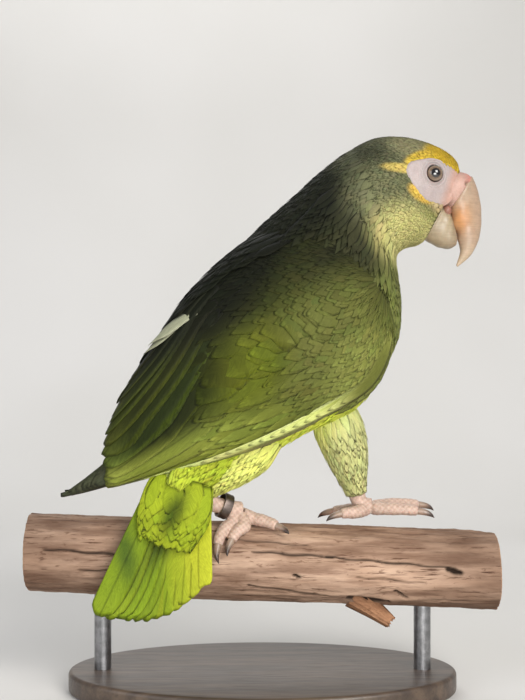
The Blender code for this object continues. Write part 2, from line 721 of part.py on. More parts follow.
def build_stand(parts, cutters, finishes, perch):
    """An oval base and two short rods, let into the base and into the branch."""
    mesh = bpy.data.meshes.new("stand_base")
    form = bmesh.new()
    bmesh.ops.create_cone(
        form, cap_ends=True, segments=BASE_SIDES, radius1=1, radius2=1, depth=BASE_THICKNESS
    )
    bmesh.ops.scale(form, verts=form.verts, vec=(BASE_HALF_LENGTH, BASE_HALF_DEPTH, 1))
    bmesh.ops.translate(form, verts=form.verts, vec=(0, 0, BASE_THICKNESS / 2))
    form.to_mesh(mesh)
    form.free()
    mesh.shade_smooth()
    mesh.set_sharp_from_angle(angle=math.radians(SHARP_DEGREES))
    base = add_object("stand_base", mesh, parts, finishes["stand"])
    edge = base.modifiers.new("Rounded edge", "BEVEL")
    edge.width = BASE_EDGE
    edge.segments = 2
    edge.limit_method = "ANGLE"
    edge.angle_limit = math.radians(60)
    for side, x in (("left", -ROD_OFFSET), ("right", ROD_OFFSET)):
        low = BASE_THICKNESS - ROD_HOLE_DEPTH
        high = perch_axis(x) - PERCH_RADIUS + ROD_HOLE_DEPTH
        rod = cylinder("stand_rod_" + side, ROD_RADIUS, low, high, (x, 0))
        add_object("stand_rod_" + side, rod, parts, finishes["stand_rod"])
        hole = cylinder("hole_" + side, ROD_RADIUS + GAP, low - GAP, high + GAP, (x, 0))
        cutter = add_cutter("hole_" + side, hole, cutters)
        boolean(base, "DIFFERENCE", cutter)
        boolean(perch, "DIFFERENCE", cutter)


def build_finishes():
    """One plain material for each kind of surface."""
    horn = (0.58, 0.44, 0.33)
    return {
        "head": material("head_plumage", (0.20, 0.22, 0.07), 0.8),
        "neck": material("neck_plumage", (0.07, 0.09, 0.03), 0.8),
        "trunk": material("trunk_plumage", (0.12, 0.17, 0.03), 0.8),
        "coverts": material("covert_plumage", (0.09, 0.13, 0.03), 0.75),
        "secondaries": material("secondary_plumage", (0.06, 0.10, 0.02), 0.7),
        "primaries": material("primary_plumage", (0.05, 0.06, 0.03), 0.65),
        "tail": material("tail_plumage", (0.25, 0.36, 0.03), 0.7),
        "undertail_coverts": material("vent_plumage", (0.33, 0.43, 0.03), 0.8),
        "thigh": material("thigh_plumage", (0.55, 0.60, 0.12), 0.8),
        "foot": material("foot_skin", (0.60, 0.45, 0.36), 0.6),
        "claw": material("claw_horn", (0.09, 0.07, 0.06), 0.4),
        "cere": material("cere_skin", (0.50, 0.30, 0.24), 0.55),
        "upper_bill": material("upper_bill_horn", horn, 0.4),
        "lower_bill": material("lower_bill_horn", horn, 0.45),
        "eye": material("eye_glass", (0.05, 0.03, 0.02), 0.08),
        "ring": material("ring_metal", (0.45, 0.43, 0.42), 0.4, 1.0),
        "perch": material("branch_wood", (0.42, 0.28, 0.20), 0.85),
        "stand": material("stand_wood", (0.10, 0.09, 0.08), 0.5),
        "stand_rod": material("stand_metal", (0.35, 0.35, 0.36), 0.35, 1.0),
    }


def main():
    """Builds every part, and the cutters that the parts use."""
    clear_scene()
    parts = new_collection("amazon_parrot")
    cutters = new_collection("cutters")
    cutters.hide_render = True
    finishes = build_finishes()
    body, trunk_space = build_body(parts, cutters, finishes)
    build_eyes(parts, cutters, finishes, body["head"])
    build_bill(parts, cutters, finishes)
    wing_spaces = build_wings(parts, cutters, finishes, trunk_space)
    build_tail(parts, finishes, trunk_space, wing_spaces)
    build_legs(parts, cutters, finishes, trunk_space, wing_spaces)
    build_ring(parts, finishes)
    perch = build_perch(parts, cutters, finishes)
    build_stand(parts, cutters, finishes, perch)


main()
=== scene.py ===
"""The dressed yellow-faced amazon: skin, feathers, bill, eyes, feet, branch and studio.

Every piece is a surface worked out from the same loft stations as the solids: +X is the way
the bird faces, its right side faces -Y, and +Z is up. Stations, paths and markings are
written in millimetres, and meshes are built in metres. Feathers are thin closed vanes laid
in tracts over those surfaces, each from its root to its tip along the flow.
"""

from __future__ import annotations

import json
import logging
import math
from dataclasses import dataclass, field, replace
from enum import Enum
from typing import Callable, NamedTuple, Sequence

import bpy
import numpy as np
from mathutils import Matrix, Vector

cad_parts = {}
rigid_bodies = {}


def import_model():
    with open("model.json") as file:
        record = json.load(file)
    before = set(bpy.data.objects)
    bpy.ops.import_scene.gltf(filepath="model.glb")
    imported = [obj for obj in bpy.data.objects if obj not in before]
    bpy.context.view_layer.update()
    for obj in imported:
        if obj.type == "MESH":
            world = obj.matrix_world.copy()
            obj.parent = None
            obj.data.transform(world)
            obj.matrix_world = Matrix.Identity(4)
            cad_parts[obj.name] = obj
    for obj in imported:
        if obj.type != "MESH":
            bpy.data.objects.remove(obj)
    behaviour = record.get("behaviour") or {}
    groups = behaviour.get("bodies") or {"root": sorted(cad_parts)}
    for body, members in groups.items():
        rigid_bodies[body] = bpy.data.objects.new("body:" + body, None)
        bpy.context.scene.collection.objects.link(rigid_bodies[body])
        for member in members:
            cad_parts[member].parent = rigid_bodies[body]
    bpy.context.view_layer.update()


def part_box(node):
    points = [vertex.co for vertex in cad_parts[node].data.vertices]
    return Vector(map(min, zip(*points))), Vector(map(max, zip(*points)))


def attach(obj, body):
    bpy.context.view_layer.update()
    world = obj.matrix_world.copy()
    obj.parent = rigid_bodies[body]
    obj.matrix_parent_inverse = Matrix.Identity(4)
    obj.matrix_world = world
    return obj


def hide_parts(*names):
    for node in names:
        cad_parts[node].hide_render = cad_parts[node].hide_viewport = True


for leftover in list(bpy.data.objects):
    bpy.data.objects.remove(leftover, do_unlink=True)
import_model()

log = logging.getLogger("amazon")
Array = np.ndarray
Shell = tuple[Array, list[Array]]  # points and face arrays of a closed shape
Material = bpy.types.Material
Socket = bpy.types.NodeSocket
MM = 0.001
TURN = 2 * math.pi


class Side(Enum):
    """The bird's own right and left, with the sign of Y that each faces."""

    RIGHT = -1.0
    LEFT = 1.0

    @property
    def word(self) -> str:
        """The side's name as the nodes spell it."""
        return self.name.lower()


class Section(NamedTuple):
    """A loft station in millimetres: top and bottom as (x, z), middle y, half width.

    power is the superellipse's exponent, and pear above 0 lowers the widest place.
    """

    top: tuple
    bottom: tuple
    y: float
    half_width: float
    power: float = 2.0
    pear: float = 0.0


BODY = (
    Section((95.4, 247.2), (77.7, 213.0), 6, 9.5, 2.2, 0.05),  # bill base
    Section((91.2, 254.4), (73.9, 211.5), 6, 13.0, 2.2, 0.10),  # lores
    Section((81.6, 260.6), (69.6, 210.0), 6, 17.5, 2.2, 0.14),  # eyes
    Section((67.2, 264.4), (66.7, 208.1), 6, 21.0, 2.2, 0.14),  # crown
    Section((50.8, 263.0), (65.2, 205.7), 6, 23.5, 2.2, 0.08),  # nape
    Section((32.4, 251.7), (65.6, 198.9), 5, 26.0, 2.1, 0.04),  # hind neck
    Section((10.8, 233.2), (67.7, 179.6), 3, 29.5, 2.1, 0.0),  # mantle and crop
    Section((-8.3, 215.8), (64.6, 161.4), 1, 33.0, 2.1, 0.0),  # shoulders and breast
    Section((-23.5, 195.5), (47.8, 134.5), -1, 34.0, 2.1, 0.0),  # middle
    Section((-39.0, 175.0), (19.6, 119.6), -4, 31.0, 2.0, -0.04),  # hind back and belly
    Section((-46.5, 150.0), (-3.0, 106.5), -9, 24.5, 2.0, -0.06),  # rump and vent
    Section((-50.5, 127.0), (-18.5, 99.0), -15, 18.0, 2.0, 0.0),  # tail coverts
    Section((-53.0, 108.0), (-31.5, 93.5), -20, 13.0, 2.0, 0.0),  # tail base
)
WING = (
    Section((42.0, 219.0), (66.5, 171.0), 4, 29.0, 2.3, 0.0),
    Section((20.0, 224.5), (67.5, 156.5), 3, 36.5, 2.4, 0.0),
    Section((-2.0, 216.5), (56.0, 136.5), 1, 39.0, 2.6, 0.03),
    Section((-20.0, 203.0), (30.0, 122.5), -1, 39.5, 2.8, 0.08),
    Section((-36.6, 185.4), (4.0, 113.5), -4, 37.5, 3.0, 0.12),
    Section((-50.6, 163.6), (-20.6, 108.0), -8, 32.5, 3.0, 0.15),
    Section((-64.1, 141.6), (-43.6, 103.5), -13, 25.0, 3.0, 0.12),
    Section((-75.2, 119.4), (-62.3, 99.6), -18, 17.0, 2.8, 0.08),
    Section((-86.4, 104.0), (-78.8, 95.6), -22, 10.5, 2.5, 0.0),
    Section((-95.2, 94.6), (-93.4, 92.6), -24, 6.5, 2.2, 0.0),
)
WING_TOP_ANGLES = (68.0, 50.0, 30.0, 13.0, 5.0, 3.0, 3.0, 4.0, 8.0, 14.0)
WING_BOTTOM_ANGLES = (118.0, 136.0, 148.0, 154.0, 158.0, 162.0, 164.0, 164.0, 160.0, 150.0)
CERE = (
    Section((93.6, 247.2), (85.4, 232.0), 6, 8.4, 2.2, 0.1),
    Section((95.7, 246.8), (87.5, 231.0), 6, 8.6, 2.2, 0.1),
    Section((98.6, 245.9), (88.6, 229.9), 6, 8.2, 2.2, 0.1),
    Section((100.6, 244.2), (89.6, 228.6), 6, 7.4, 2.2, 0.1),
)
UPPER_BILL = (
    Section((98.2, 244.2), (89.4, 230.4), 6, 6.0, 2.1, 0.15),
    Section((101.0, 243.9), (90.0, 228.3), 6, 7.1, 2.1, 0.15),
    Section((104.2, 234.6), (90.9, 223.5), 6, 6.4, 2.0, 0.15),
    Section((105.2, 224.9), (92.4, 218.2), 6, 5.2, 2.0, 0.1),
    Section((104.2, 215.3), (94.3, 212.9), 6, 3.9, 2.0, 0.0),
    Section((100.4, 207.2), (95.0, 208.4), 6, 2.4, 2.0, 0.0),
    Section((94.0, 201.4), (93.2, 202.2), 6, 0.5, 2.0, 0.0),
)
LOWER_BILL = (
    Section((86.0, 230.6), (77.2, 214.9), 6, 7.0, 2.2, -0.1),
    Section((87.6, 229.6), (78.8, 213.9), 6, 7.2, 2.2, -0.1),
    Section((90.6, 226.2), (84.2, 211.0), 6, 6.6, 2.2, -0.1),
    Section((92.2, 221.2), (89.6, 210.0), 6, 5.2, 2.2, 0.0),
    Section((93.6, 216.4), (93.0, 211.6), 6, 2.6, 2.2, 0.0),
)


def srgb(red: int, green: int, blue: int) -> Array:
    """A display colour of 0 to 255 as linear light."""
    value = np.array((red, green, blue)) / 255
    return np.where(value <= 0.04045, value / 12.92, ((value + 0.055) / 1.055) ** 2.4)


def mixed(first: Array, second: Array, share: Array | float) -> Array:
    """The first value at a share of 0 and the second at 1."""
    return first + (second - first) * share


def smooth_step(value: Array, low: float, high: float) -> Array:
    """0 below low, 1 above high, and 3t^2 - 2t^3 between them."""
    part = np.clip((value - low) / (high - low), 0, 1)
    return part * part * (3 - 2 * part)


def bell(value: Array, middle: float, width: float) -> Array:
    """1 at the middle, falling away as e to the minus square of the distance over width."""
    return np.exp(-(((value - middle) / width) ** 2))


def turns(count: int, start: float = 0.0) -> Array:
    """Even angles all round, the first a share of a step on from 0."""
    return (np.arange(count) + start) * TURN / count


def unit(vectors: Array) -> Array:
    """Vectors divided by their lengths."""
    return vectors / np.maximum(np.linalg.norm(vectors, axis=-1, keepdims=True), 1e-12)


def across_axis(axis: Array) -> tuple[Array, Array]:
    """Two directions at right angles to an axis and to each other."""
    first = unit(np.cross(axis, (0.0, 1.0, 0.0)))
    return first, np.cross(axis, first)


def spline(values: Sequence, at: Array) -> Array:
    """Catmull-Rom through rows of values, read at station numbers that may be fractions.

    Args:
        values: one row for each station.
        at: station numbers, held between the first and the last.

    Returns:
        The values between the stations, in the shape of at with a row's shape behind it.
    """
    values = np.asarray(values, float)
    last = len(values) - 1
    at = np.clip(np.asarray(at, float), 0, last)
    start = np.minimum(at.astype(int), last - 1)
    part = (at - start).reshape(at.shape + (1,) * (values.ndim - 1))
    padded = np.concatenate([2 * values[:1] - values[1:2], values, 2 * values[-1:] - values[-2:-1]])
    before, here, there, after = (padded[start + k] for k in range(4))
    return 0.5 * (
        2 * here
        + (there - before) * part
        + (2 * before - 5 * here + 4 * there - after) * part**2
        + (3 * here - before - 3 * there + after) * part**3
    )


def stations(sections: Sequence[Section], at: Array) -> Array:
    """A loft's numbers at stations, a row each: top, bottom, y, half width, power, pear."""
    return spline([(*s.top, *s.bottom, *s[2:]) for s in sections], at)


def section_points(
    sections: Sequence[Section], at: Array, angles: Array, side: float = 1.0
) -> Array:
    """Points of a loft at stations and at angles from its top, in metres.

    A point is the section's middle, plus cos(angle) of the half height along the line from
    bottom to top, plus sin(angle) of the half width along Y, both bent by the power.

    Args:
        sections: the loft's stations.
        at: station numbers.
        angles: radians from the top, turning towards side.
        side: the sign of Y that angles turn to.

    Returns:
        Points in the shape that at and angles make together.
    """
    top_x, top_z, low_x, low_z, y, width, power, pear = np.moveaxis(stations(sections, at), -1, 0)
    turned = (np.cos(angles), np.sin(angles))
    rise, reach = (np.sign(part) * np.abs(part) ** (2 / power) for part in turned)
    x = (top_x + low_x) / 2 + rise * (top_x - low_x) / 2
    z = (top_z + low_z) / 2 + rise * (top_z - low_z) / 2
    return np.stack([x, y + side * reach * width * (1 - pear * rise), z], axis=-1) * MM


def head_side(x: Array, z: Array, side: float) -> Array:
    """How far out the head's side lies over places seen from the side, in metres.

    Newton's steps find the station and the rise whose section passes through (x, z), and
    the superellipse |rise|^p + |reach|^p = 1 gives the reach along Y.

    Args:
        x: forward places in metres.
        z: heights in metres.
        side: the sign of Y.

    Returns:
        The Y of the head's surface at each place.
    """
    station = np.full(x.shape, 2.0)
    rise = np.full(x.shape, 0.3)
    step = 0.01

    def seen(at: Array, lift: Array) -> Array:
        """The (x, z) of a station at a rise."""
        table = stations(BODY, at)
        top, low = table[..., 0:2], table[..., 2:4]
        return ((top + low) / 2 + lift[..., None] * (top - low) / 2) * MM

    def crossed(one: Array, other: Array) -> Array:
        """The area that two plane vectors span."""
        return one[..., 0] * other[..., 1] - one[..., 1] * other[..., 0]

    target = np.stack([x, z], axis=-1)
    for _ in range(8):
        here = seen(station, rise)
        by_station = (seen(station + step, rise) - here) / step
        by_rise = (seen(station, rise + step) - here) / step
        area = crossed(by_station, by_rise)
        station = np.clip(station + crossed(target - here, by_rise) / area, 0.0, 6.0)
        rise = np.clip(rise + crossed(by_station, target - here) / area, -0.98, 0.98)
    y, width, power, pear = np.moveaxis(stations(BODY, station)[..., 4:], -1, 0)
    reach = (1 - np.abs(rise) ** power) ** (1 / power)
    return (y + side * reach * width * (1 - pear * rise)) * MM


# ---------------------------------------------------------------- meshes and surfaces


def grid_quads(rows: int, columns: int, closed: bool = False) -> Array:
    """Quads over a grid of points, wound so that row x column direction is outward.

    Args:
        rows: of points.
        columns: of points.
        closed: whether the last column is joined to the first.

    Returns:
        The quads, as rows of point numbers.
    """
    wide = columns if closed else columns - 1
    i, j = np.meshgrid(np.arange(rows - 1), np.arange(wide), indexing="ij")
    right = (j + 1) % columns
    quads = [i * columns + j, (i + 1) * columns + j, (i + 1) * columns + right, i * columns + right]
    return np.stack(quads, axis=-1).reshape(-1, 4)


def build_mesh(name: str, points: Array, faces: Sequence[Array]) -> bpy.types.Mesh:
    """A smooth-shaded mesh from arrays.

    Args:
        name: the mesh's name.
        points: vertices, one row each.
        faces: arrays of triangles or quads, as rows of vertex numbers.

    Returns:
        The new mesh.
    """
    faces = [part for part in faces if len(part)]
    loops = np.concatenate([part.ravel() for part in faces]).astype(np.int32)
    sizes = np.concatenate([np.full(len(part), part.shape[1]) for part in faces])
    starts = np.concatenate([[0], np.cumsum(sizes)[:-1]]).astype(np.int32)
    mesh = bpy.data.meshes.new(name)
    mesh.vertices.add(len(points))
    mesh.vertices.foreach_set("co", np.ascontiguousarray(points, np.float32).ravel())
    mesh.loops.add(len(loops))
    mesh.loops.foreach_set("vertex_index", loops)
    mesh.polygons.add(len(sizes))
    mesh.polygons.foreach_set("loop_start", starts)
    mesh.update(calc_edges=True)
    mesh.shade_smooth()
    return mesh


def turned_over(faces: list[Array]) -> list[Array]:
    """The same faces, seen from their other sides."""
    return [part[:, ::-1] for part in faces]


def tube(rings: Array, outward: float = -1.0) -> Shell:
    """A closed loft through rings, each end closed by a fan to its middle.

    Args:
        rings: points as (ring, place round it, xyz).
        outward: 1 where the rings turn the other way about the direction of travel.

    Returns:
        The points and the face arrays.
    """
    count, sides = rings.shape[:2]
    points = np.concatenate([rings.reshape(-1, 3), rings[:1].mean(axis=1), rings[-1:].mean(axis=1)])
    here = np.arange(sides)
    there = (here + 1) % sides
    first = np.stack([np.full(sides, count * sides), here, there], axis=-1)
    end = (count - 1) * sides
    last = np.stack([np.full(sides, count * sides + 1), end + there, end + here], axis=-1)
    faces = [grid_quads(count, sides, closed=True), np.concatenate([first, last])]
    return points, turned_over(faces) if outward < 0 else faces


def swelled(rings: Array, share: Array | float) -> Array:
    """Rings whose points stand a share of their old distance from their ring's middle."""
    return mixed(rings.mean(axis=1, keepdims=True), rings, share)


def limb_rings(path: Sequence, radii: Sequence, rings: int, sides: int) -> Array:
    """Rings at right angles to a smooth path, with the radii eased along it.

    Args:
        path: places in millimetres that the limb's middle passes through.
        radii: in millimetres, one for each place.
        rings: how many.
        sides: points in each ring.

    Returns:
        The rings' points in metres, as (ring, place round it, xyz).
    """
    at = np.linspace(0, len(path) - 1, rings)
    middle = spline(path, at)
    radius = spline(radii, at)[:, None, None]
    first, second = across_axis(unit(np.gradient(middle, axis=0)))
    turn = turns(sides)[None, :, None]
    spoke = np.cos(turn) * first[:, None] + np.sin(turn) * second[:, None]
    return (middle[:, None] + spoke * radius) * MM


def slab(outer: Array, inner: Array) -> Shell:
    """A closed plate between two grids of equal shape, joined round their border.

    Args:
        outer: the points of its outside, as (row, column, xyz).
        inner: those of its inside.

    Returns:
        The points and the face arrays.
    """
    rows, columns = outer.shape[:2]
    size = rows * columns
    quads = grid_quads(rows, columns)
    number = np.arange(size).reshape(rows, columns)
    border = np.concatenate([number[0], number[1:, -1], number[-1, -2::-1], number[-2:0:-1, 0]])
    after = np.roll(border, -1)
    rim = np.stack([border, after, size + after, size + border], axis=-1)
    points = np.concatenate([outer.reshape(-1, 3), inner.reshape(-1, 3)])
    return points, [quads, quads[:, ::-1] + size, rim]


def colour_points(mesh: bpy.types.Mesh, name: str, colours: Array) -> None:
    """Stores one linear colour for each vertex under name."""
    layer = mesh.attributes.new(name, "FLOAT_COLOR", "POINT")
    full = np.concatenate([colours, np.ones((len(colours), 1))], axis=1)
    layer.data.foreach_set("color", full.astype(np.float32).ravel())


def map_points(mesh: bpy.types.Mesh, name: str, places: Array) -> None:
    """Stores places on a UV map.

    Args:
        mesh: takes the map.
        name: the map's.
        places: one for each vertex.
    """
    layer = mesh.uv_layers.new(name=name, do_init=False)
    loops = np.empty(len(mesh.loops), np.int32)
    mesh.loops.foreach_get("vertex_index", loops)
    layer.data.foreach_set("uv", places[loops].astype(np.float32).ravel())


def mesh_points(mesh: bpy.types.Mesh) -> Array:
    """The vertices of a mesh as rows."""
    points = np.empty(len(mesh.vertices) * 3, np.float32)
    mesh.vertices.foreach_get("co", points)
    return points.reshape(-1, 3).astype(float)


def add_piece(name: str, mesh: bpy.types.Mesh, finish: Material, slot: str, *nodes: str) -> None:
    """Puts a mesh in the scene as a piece of the bird or of its perch.

    Args:
        name: the piece's name.
        mesh: its mesh, already in place.
        finish: its material.
        slot: the name of the record's material slot; not used.
        nodes: the solids it stands for.
    """
    piece = bpy.data.objects.new(name, mesh)
    bpy.context.scene.collection.objects.link(piece)
    mesh.materials.clear()
    mesh.materials.append(finish)
    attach(piece, "root")
    if nodes:
        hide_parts(*nodes)
    log.info("%s: %d faces", name, len(mesh.polygons))


def add_shape(
    name: str, shell: Shell, tint: Array | None, finish: Material, slot: str, *nodes: str
) -> None:
    """Builds a closed shape, colours it where tint is given, and adds it as a piece.

    Args:
        name: the piece's name.
        shell: its points and faces.
        tint: one colour for all points or one for each, or None.
        finish: its material.
        slot: the name of the record's material slot, passed on to add_piece.
        nodes: the solids it stands for.
    """
    mesh = build_mesh(name, *shell)
    if tint is not None:
        colour_points(mesh, "tint", np.broadcast_to(tint, shell[0].shape))
    add_piece(name, mesh, finish, slot, *nodes)


def heaped(shells: Sequence[Shell]) -> Shell:
    """Several shells as one, none of them welded."""
    starts = np.cumsum([0] + [len(points) for points, _ in shells[:-1]])
    faces = [part + start for (_, parts), start in zip(shells, starts) for part in parts]
    return np.concatenate([points for points, _ in shells]), faces


def voxel_union(name: str, shells: Sequence[Shell], voxel: float) -> bpy.types.Mesh:
    """One closed mesh over overlapping closed shells.

    Args:
        name: the mesh's name.
        shells: points and face arrays of each shell.
        voxel: the size of the remesh's cells.

    Returns:
        The joined mesh, its old seams melted away.
    """
    rough = bpy.data.objects.new(name + "_rough", build_mesh(name, *heaped(shells)))
    bpy.context.scene.collection.objects.link(rough)
    remesh = rough.modifiers.new("Union", "REMESH")
    remesh.mode = "VOXEL"
    remesh.voxel_size = voxel
    settle = rough.modifiers.new("Settle", "SMOOTH")
    settle.iterations = 3
    settle.factor = 0.4
    shape = rough.evaluated_get(bpy.context.evaluated_depsgraph_get())
    mesh = bpy.data.meshes.new_from_object(shape)
    mesh.name = name
    mesh.shade_smooth()
    bpy.data.objects.remove(rough, do_unlink=True)
    return mesh


class Surface:
    """A smooth surface over two parameters, kept as a fine grid and read between its points."""

    def __init__(self, points: Array, a_span: tuple, b_span: tuple, outward: float = 1.0) -> None:
        """Works out slopes and normals.

        Args:
            points: the grid, as (place along, place across, xyz).
            a_span: the first parameter at the first and at the last row.
            b_span: the second parameter at the first and at the last column.
            outward: the sign that turns the slopes' cross product out of the body.
        """
        self.points, self.a_span, self.b_span, self.outward = points, a_span, b_span, outward
        along = np.gradient(points, np.linspace(*a_span, points.shape[0]), axis=0)
        across = np.gradient(points, np.linspace(*b_span, points.shape[1]), axis=1)
        self.normals = outward * unit(np.cross(along, across))
        self.table = np.concatenate([points, self.normals, along, across], axis=-1)

    @classmethod
    def limb(cls, rings: Array, last: float) -> Surface:
        """The outside of a limb, from its rings.

        Args:
            rings: points as (ring, place round it, xyz).
            last: the first parameter at the last ring, 0 being the first's.

        Returns:
            The surface, its second parameter a full turn.
        """
        grid = np.concatenate([rings, rings[:, :1]], axis=1)
        spoke = grid - rings.mean(axis=1, keepdims=True)
        sign = np.sign((spoke * cls(grid, (0, last), (0, TURN)).normals).sum())
        return cls(grid, (0, last), (0, TURN), float(sign))

    def inset(self, depth: Array | float) -> Surface:
        """The same surface moved inwards by depth."""
        return Surface(self.points - self.normals * depth, self.a_span, self.b_span, self.outward)

    def read(self, a: Array, b: Array) -> list[Array]:
        """Reads places between the grid's, mixed bilinearly.

        Args:
            a: first parameters.
            b: second parameters, in the same shape.

        Returns:
            Points, normals and both slopes.
        """
        rows, columns = self.table.shape[:2]
        x = (a - self.a_span[0]) / (self.a_span[1] - self.a_span[0]) * (rows - 1)
        y = (b - self.b_span[0]) / (self.b_span[1] - self.b_span[0]) * (columns - 1)
        x = np.clip(x, 0, rows - 1.001)
        y = np.clip(y, 0, columns - 1.001)
        i, j = x.astype(int), y.astype(int)
        p, q = (x - i)[..., None], (y - j)[..., None]
        near = self.table[i, j] * (1 - q) + self.table[i, j + 1] * q
        far = self.table[i + 1, j] * (1 - q) + self.table[i + 1, j + 1] * q
        return np.split(near * (1 - p) + far * p, 4, axis=-1)


# ---------------------------------------------------------------- feathers


@dataclass(frozen=True)
class Vane:
    """The outline that the feathers of one tract share."""

    rows: int
    columns: int
    root: float  # width at the root, as a share of the widest
    belly: float  # where along it is widest
    tip: float  # width of the last row
    rounding: float  # how far the end's corners are drawn back
    camber: float  # rise of the shaft over the edges, as a share of the width
    thickness: float  # millimetres
    ragged: float  # how unevenly the end is cut, as a share of the length
    lean: float  # one edge higher than the other, as a share of the width

    def leaning(self, sign: float) -> Vane:
        """The same vane with its lean turned by a sign."""
        return replace(self, lean=self.lean * sign)


@dataclass
class Flock:
    """Where each feather of a tract starts and ends on its surface, and how it stands."""

    root: Array  # (n, 2) places on the surface
    tip: Array
    width: Array
    low: Array  # height of the root over the surface
    high: Array  # height of the tip
    bow: float = 0.0  # sideways bend at mid length, in the second parameter

    def kept(self, mask: Array) -> Flock:
        """The feathers where mask is true."""
        parts = (self.root, self.tip, self.width, self.low, self.high)
        return Flock(*(part[mask] for part in parts), self.bow)


@dataclass
class Coat:
    """Laid feathers as one heap of vertices, quads, maps and colours."""

    points: Array
    quads: Array
    vane: Array  # each vertex's place on its own vane
    bake: Array  # each vertex's place on the bake map
    tint: Array
    rim: Array

    @staticmethod
    def joined(coats: Sequence[Coat]) -> Coat:
        """Several coats as one.

        Args:
            coats: in the order that their feathers keep.

        Returns:
            The joined coat.
        """
        starts = np.cumsum([0] + [len(coat.points) for coat in coats[:-1]])
        quads = np.concatenate([coat.quads + start for coat, start in zip(coats, starts)])
        names = ("points", "vane", "bake", "tint", "rim")
        points, *maps = [np.concatenate([getattr(coat, name) for coat in coats]) for name in names]
        return Coat(points, quads, *maps)

    def piece(self, name: str, finish: Material, slot: str, *nodes: str) -> None:
        """Makes the coat a piece of the bird.

        Args:
            name: the piece's name.
            finish: its material.
            slot: the name of the record's material slot, passed on to add_piece.
            nodes: the solids it stands for.
        """
        mesh = build_mesh(name, self.points, [self.quads])
        map_points(mesh, "Vane", self.vane)
        map_points(mesh, "OFBake", self.bake)
        colour_points(mesh, "tint", self.tint)
        colour_points(mesh, "rim", self.rim)
        add_piece(name, mesh, finish, slot, *nodes)


PATCH = 0.003  # width of a feather's patch on the bake map
MARGIN = 0.005  # empty border of the bake map
Painter = Callable[[Array], tuple[Array, Array]]


def vane_template(vane: Vane) -> tuple[Array, Array, Array, Array]:
    """A closed thin vane: its upper grid, and a lower one that shares the border.

    Args:
        vane: gives the numbers of rows and columns.

    Returns:
        Row and column numbers of every vertex, 1 for each vertex of the lower face, and
        the quads.
    """
    rows, columns = vane.rows, vane.columns
    i, j = np.meshgrid(np.arange(rows), np.arange(columns), indexing="ij")
    inside = (i > 0) & (i < rows - 1) & (j > 0) & (j < columns - 1)
    lower = i * columns + j
    lower[inside] = rows * columns + np.arange(inside.sum())
    top = grid_quads(rows, columns)
    bottom = lower.ravel()[top][:, ::-1]
    row = np.concatenate([i.ravel(), i[inside]])
    column = np.concatenate([j.ravel(), j[inside]])
    under = np.concatenate([np.zeros(rows * columns), np.ones(inside.sum())])
    return row, column, under, np.concatenate([top, bottom])


def lay(surface: Surface, flock: Flock, vane: Vane, paint: Painter, seed: int) -> Coat:
    """Lays feathers on a surface.

    A vertex at u along and v across a vane starts at root + u (tip - root), bowed sideways
    by 4u(1-u), and moves across the flow by v times half the width there. The width swells
    from the root to the belly and shrinks to the tip's, and the end is rounded by drawing
    its corners back by v^2. It then rises off the surface from low to high, plus a camber
    of 1-v^2 for the shaft and a lean of v.

    Args:
        surface: what the feathers lie on.
        flock: their places.
        vane: their outline.
        paint: gives a middle and an edge colour at each point.
        seed: of the small differences between them.

    Returns:
        The feathers' vertices, quads, maps and colours.
    """
    rng = np.random.default_rng(seed)
    count = len(flock.root)
    row, column, under, quads = vane_template(vane)
    u = 1 - (1 - row / (vane.rows - 1)) ** 1.25  # rows lie closer towards the tip
    v = column / (vane.columns - 1) * 2 - 1
    swell = mixed(vane.root, 1, smooth_step(u, 0, vane.belly))
    past = np.clip((u - vane.belly) / (1 - vane.belly), 0, 1)
    share = swell * (1 - (1 - vane.tip) * past**2.2)
    along = u[None] * (1 - vane.rounding * (v**2 * u**3)[None])
    fringe = rng.uniform(-1, 1, (count, vane.columns))[:, column] * vane.ragged
    along = along + fringe * (u**6)[None]
    bow = flock.bow * 4 * along * (1 - along)
    step = flock.tip - flock.root
    a = flock.root[:, :1] + step[:, :1] * along
    b = flock.root[:, 1:] + step[:, 1:] * along + bow
    _, normal, by_a, by_b = surface.read(a, b)
    ahead = unit(by_a * step[:, None, :1] + by_b * step[:, None, 1:])
    across = np.cross(normal, ahead)
    offset = flock.width[:, None] / 2 * share[None] * v[None]
    aa, ab, bb = (by_a**2).sum(-1), (by_a * by_b).sum(-1), (by_b**2).sum(-1)
    ca, cb = (across * by_a).sum(-1), (across * by_b).sum(-1)
    area = np.maximum(aa * bb - ab**2, 1e-16)
    point, normal, _, _ = surface.read(
        a + offset * (ca * bb - cb * ab) / area, b + offset * (cb * aa - ca * ab) / area
    )
    lean = rng.uniform(0.4, 1.0, (count, 1)) * vane.lean
    height = mixed(flock.low[:, None], flock.high[:, None], along**1.15)
    height = height + flock.width[:, None] * (vane.camber * (1 - v**2) * u * share + lean * v * u)
    height = height - under[None] * vane.thickness * MM
    points = (point + normal * height[..., None]).reshape(-1, 3)
    tint, rim = paint(points)
    shade = rng.normal(1.0, 0.07, (count, 1)) * (1 + rng.normal(0, 0.025, (count, 3)))
    shade = np.repeat(shade, len(row), axis=0)
    start, end = np.transpose((surface.a_span, surface.b_span))
    home = MARGIN + (1 - 2 * MARGIN) * np.clip((flock.root - start) / (end - start), 0, 1)
    local = np.stack([u, (v + 1) / 2], axis=-1)
    bake = home[:, None] + PATCH * (local[None] - 0.5)
    every = quads[None] + (np.arange(count) * len(row))[:, None, None]
    return Coat(
        points,
        every.reshape(-1, 4),
        np.tile(local, (count, 1)),
        bake.reshape(-1, 2),
        np.clip(tint * shade, 0, 1),
        np.clip(rim * shade, 0, 1),
    )


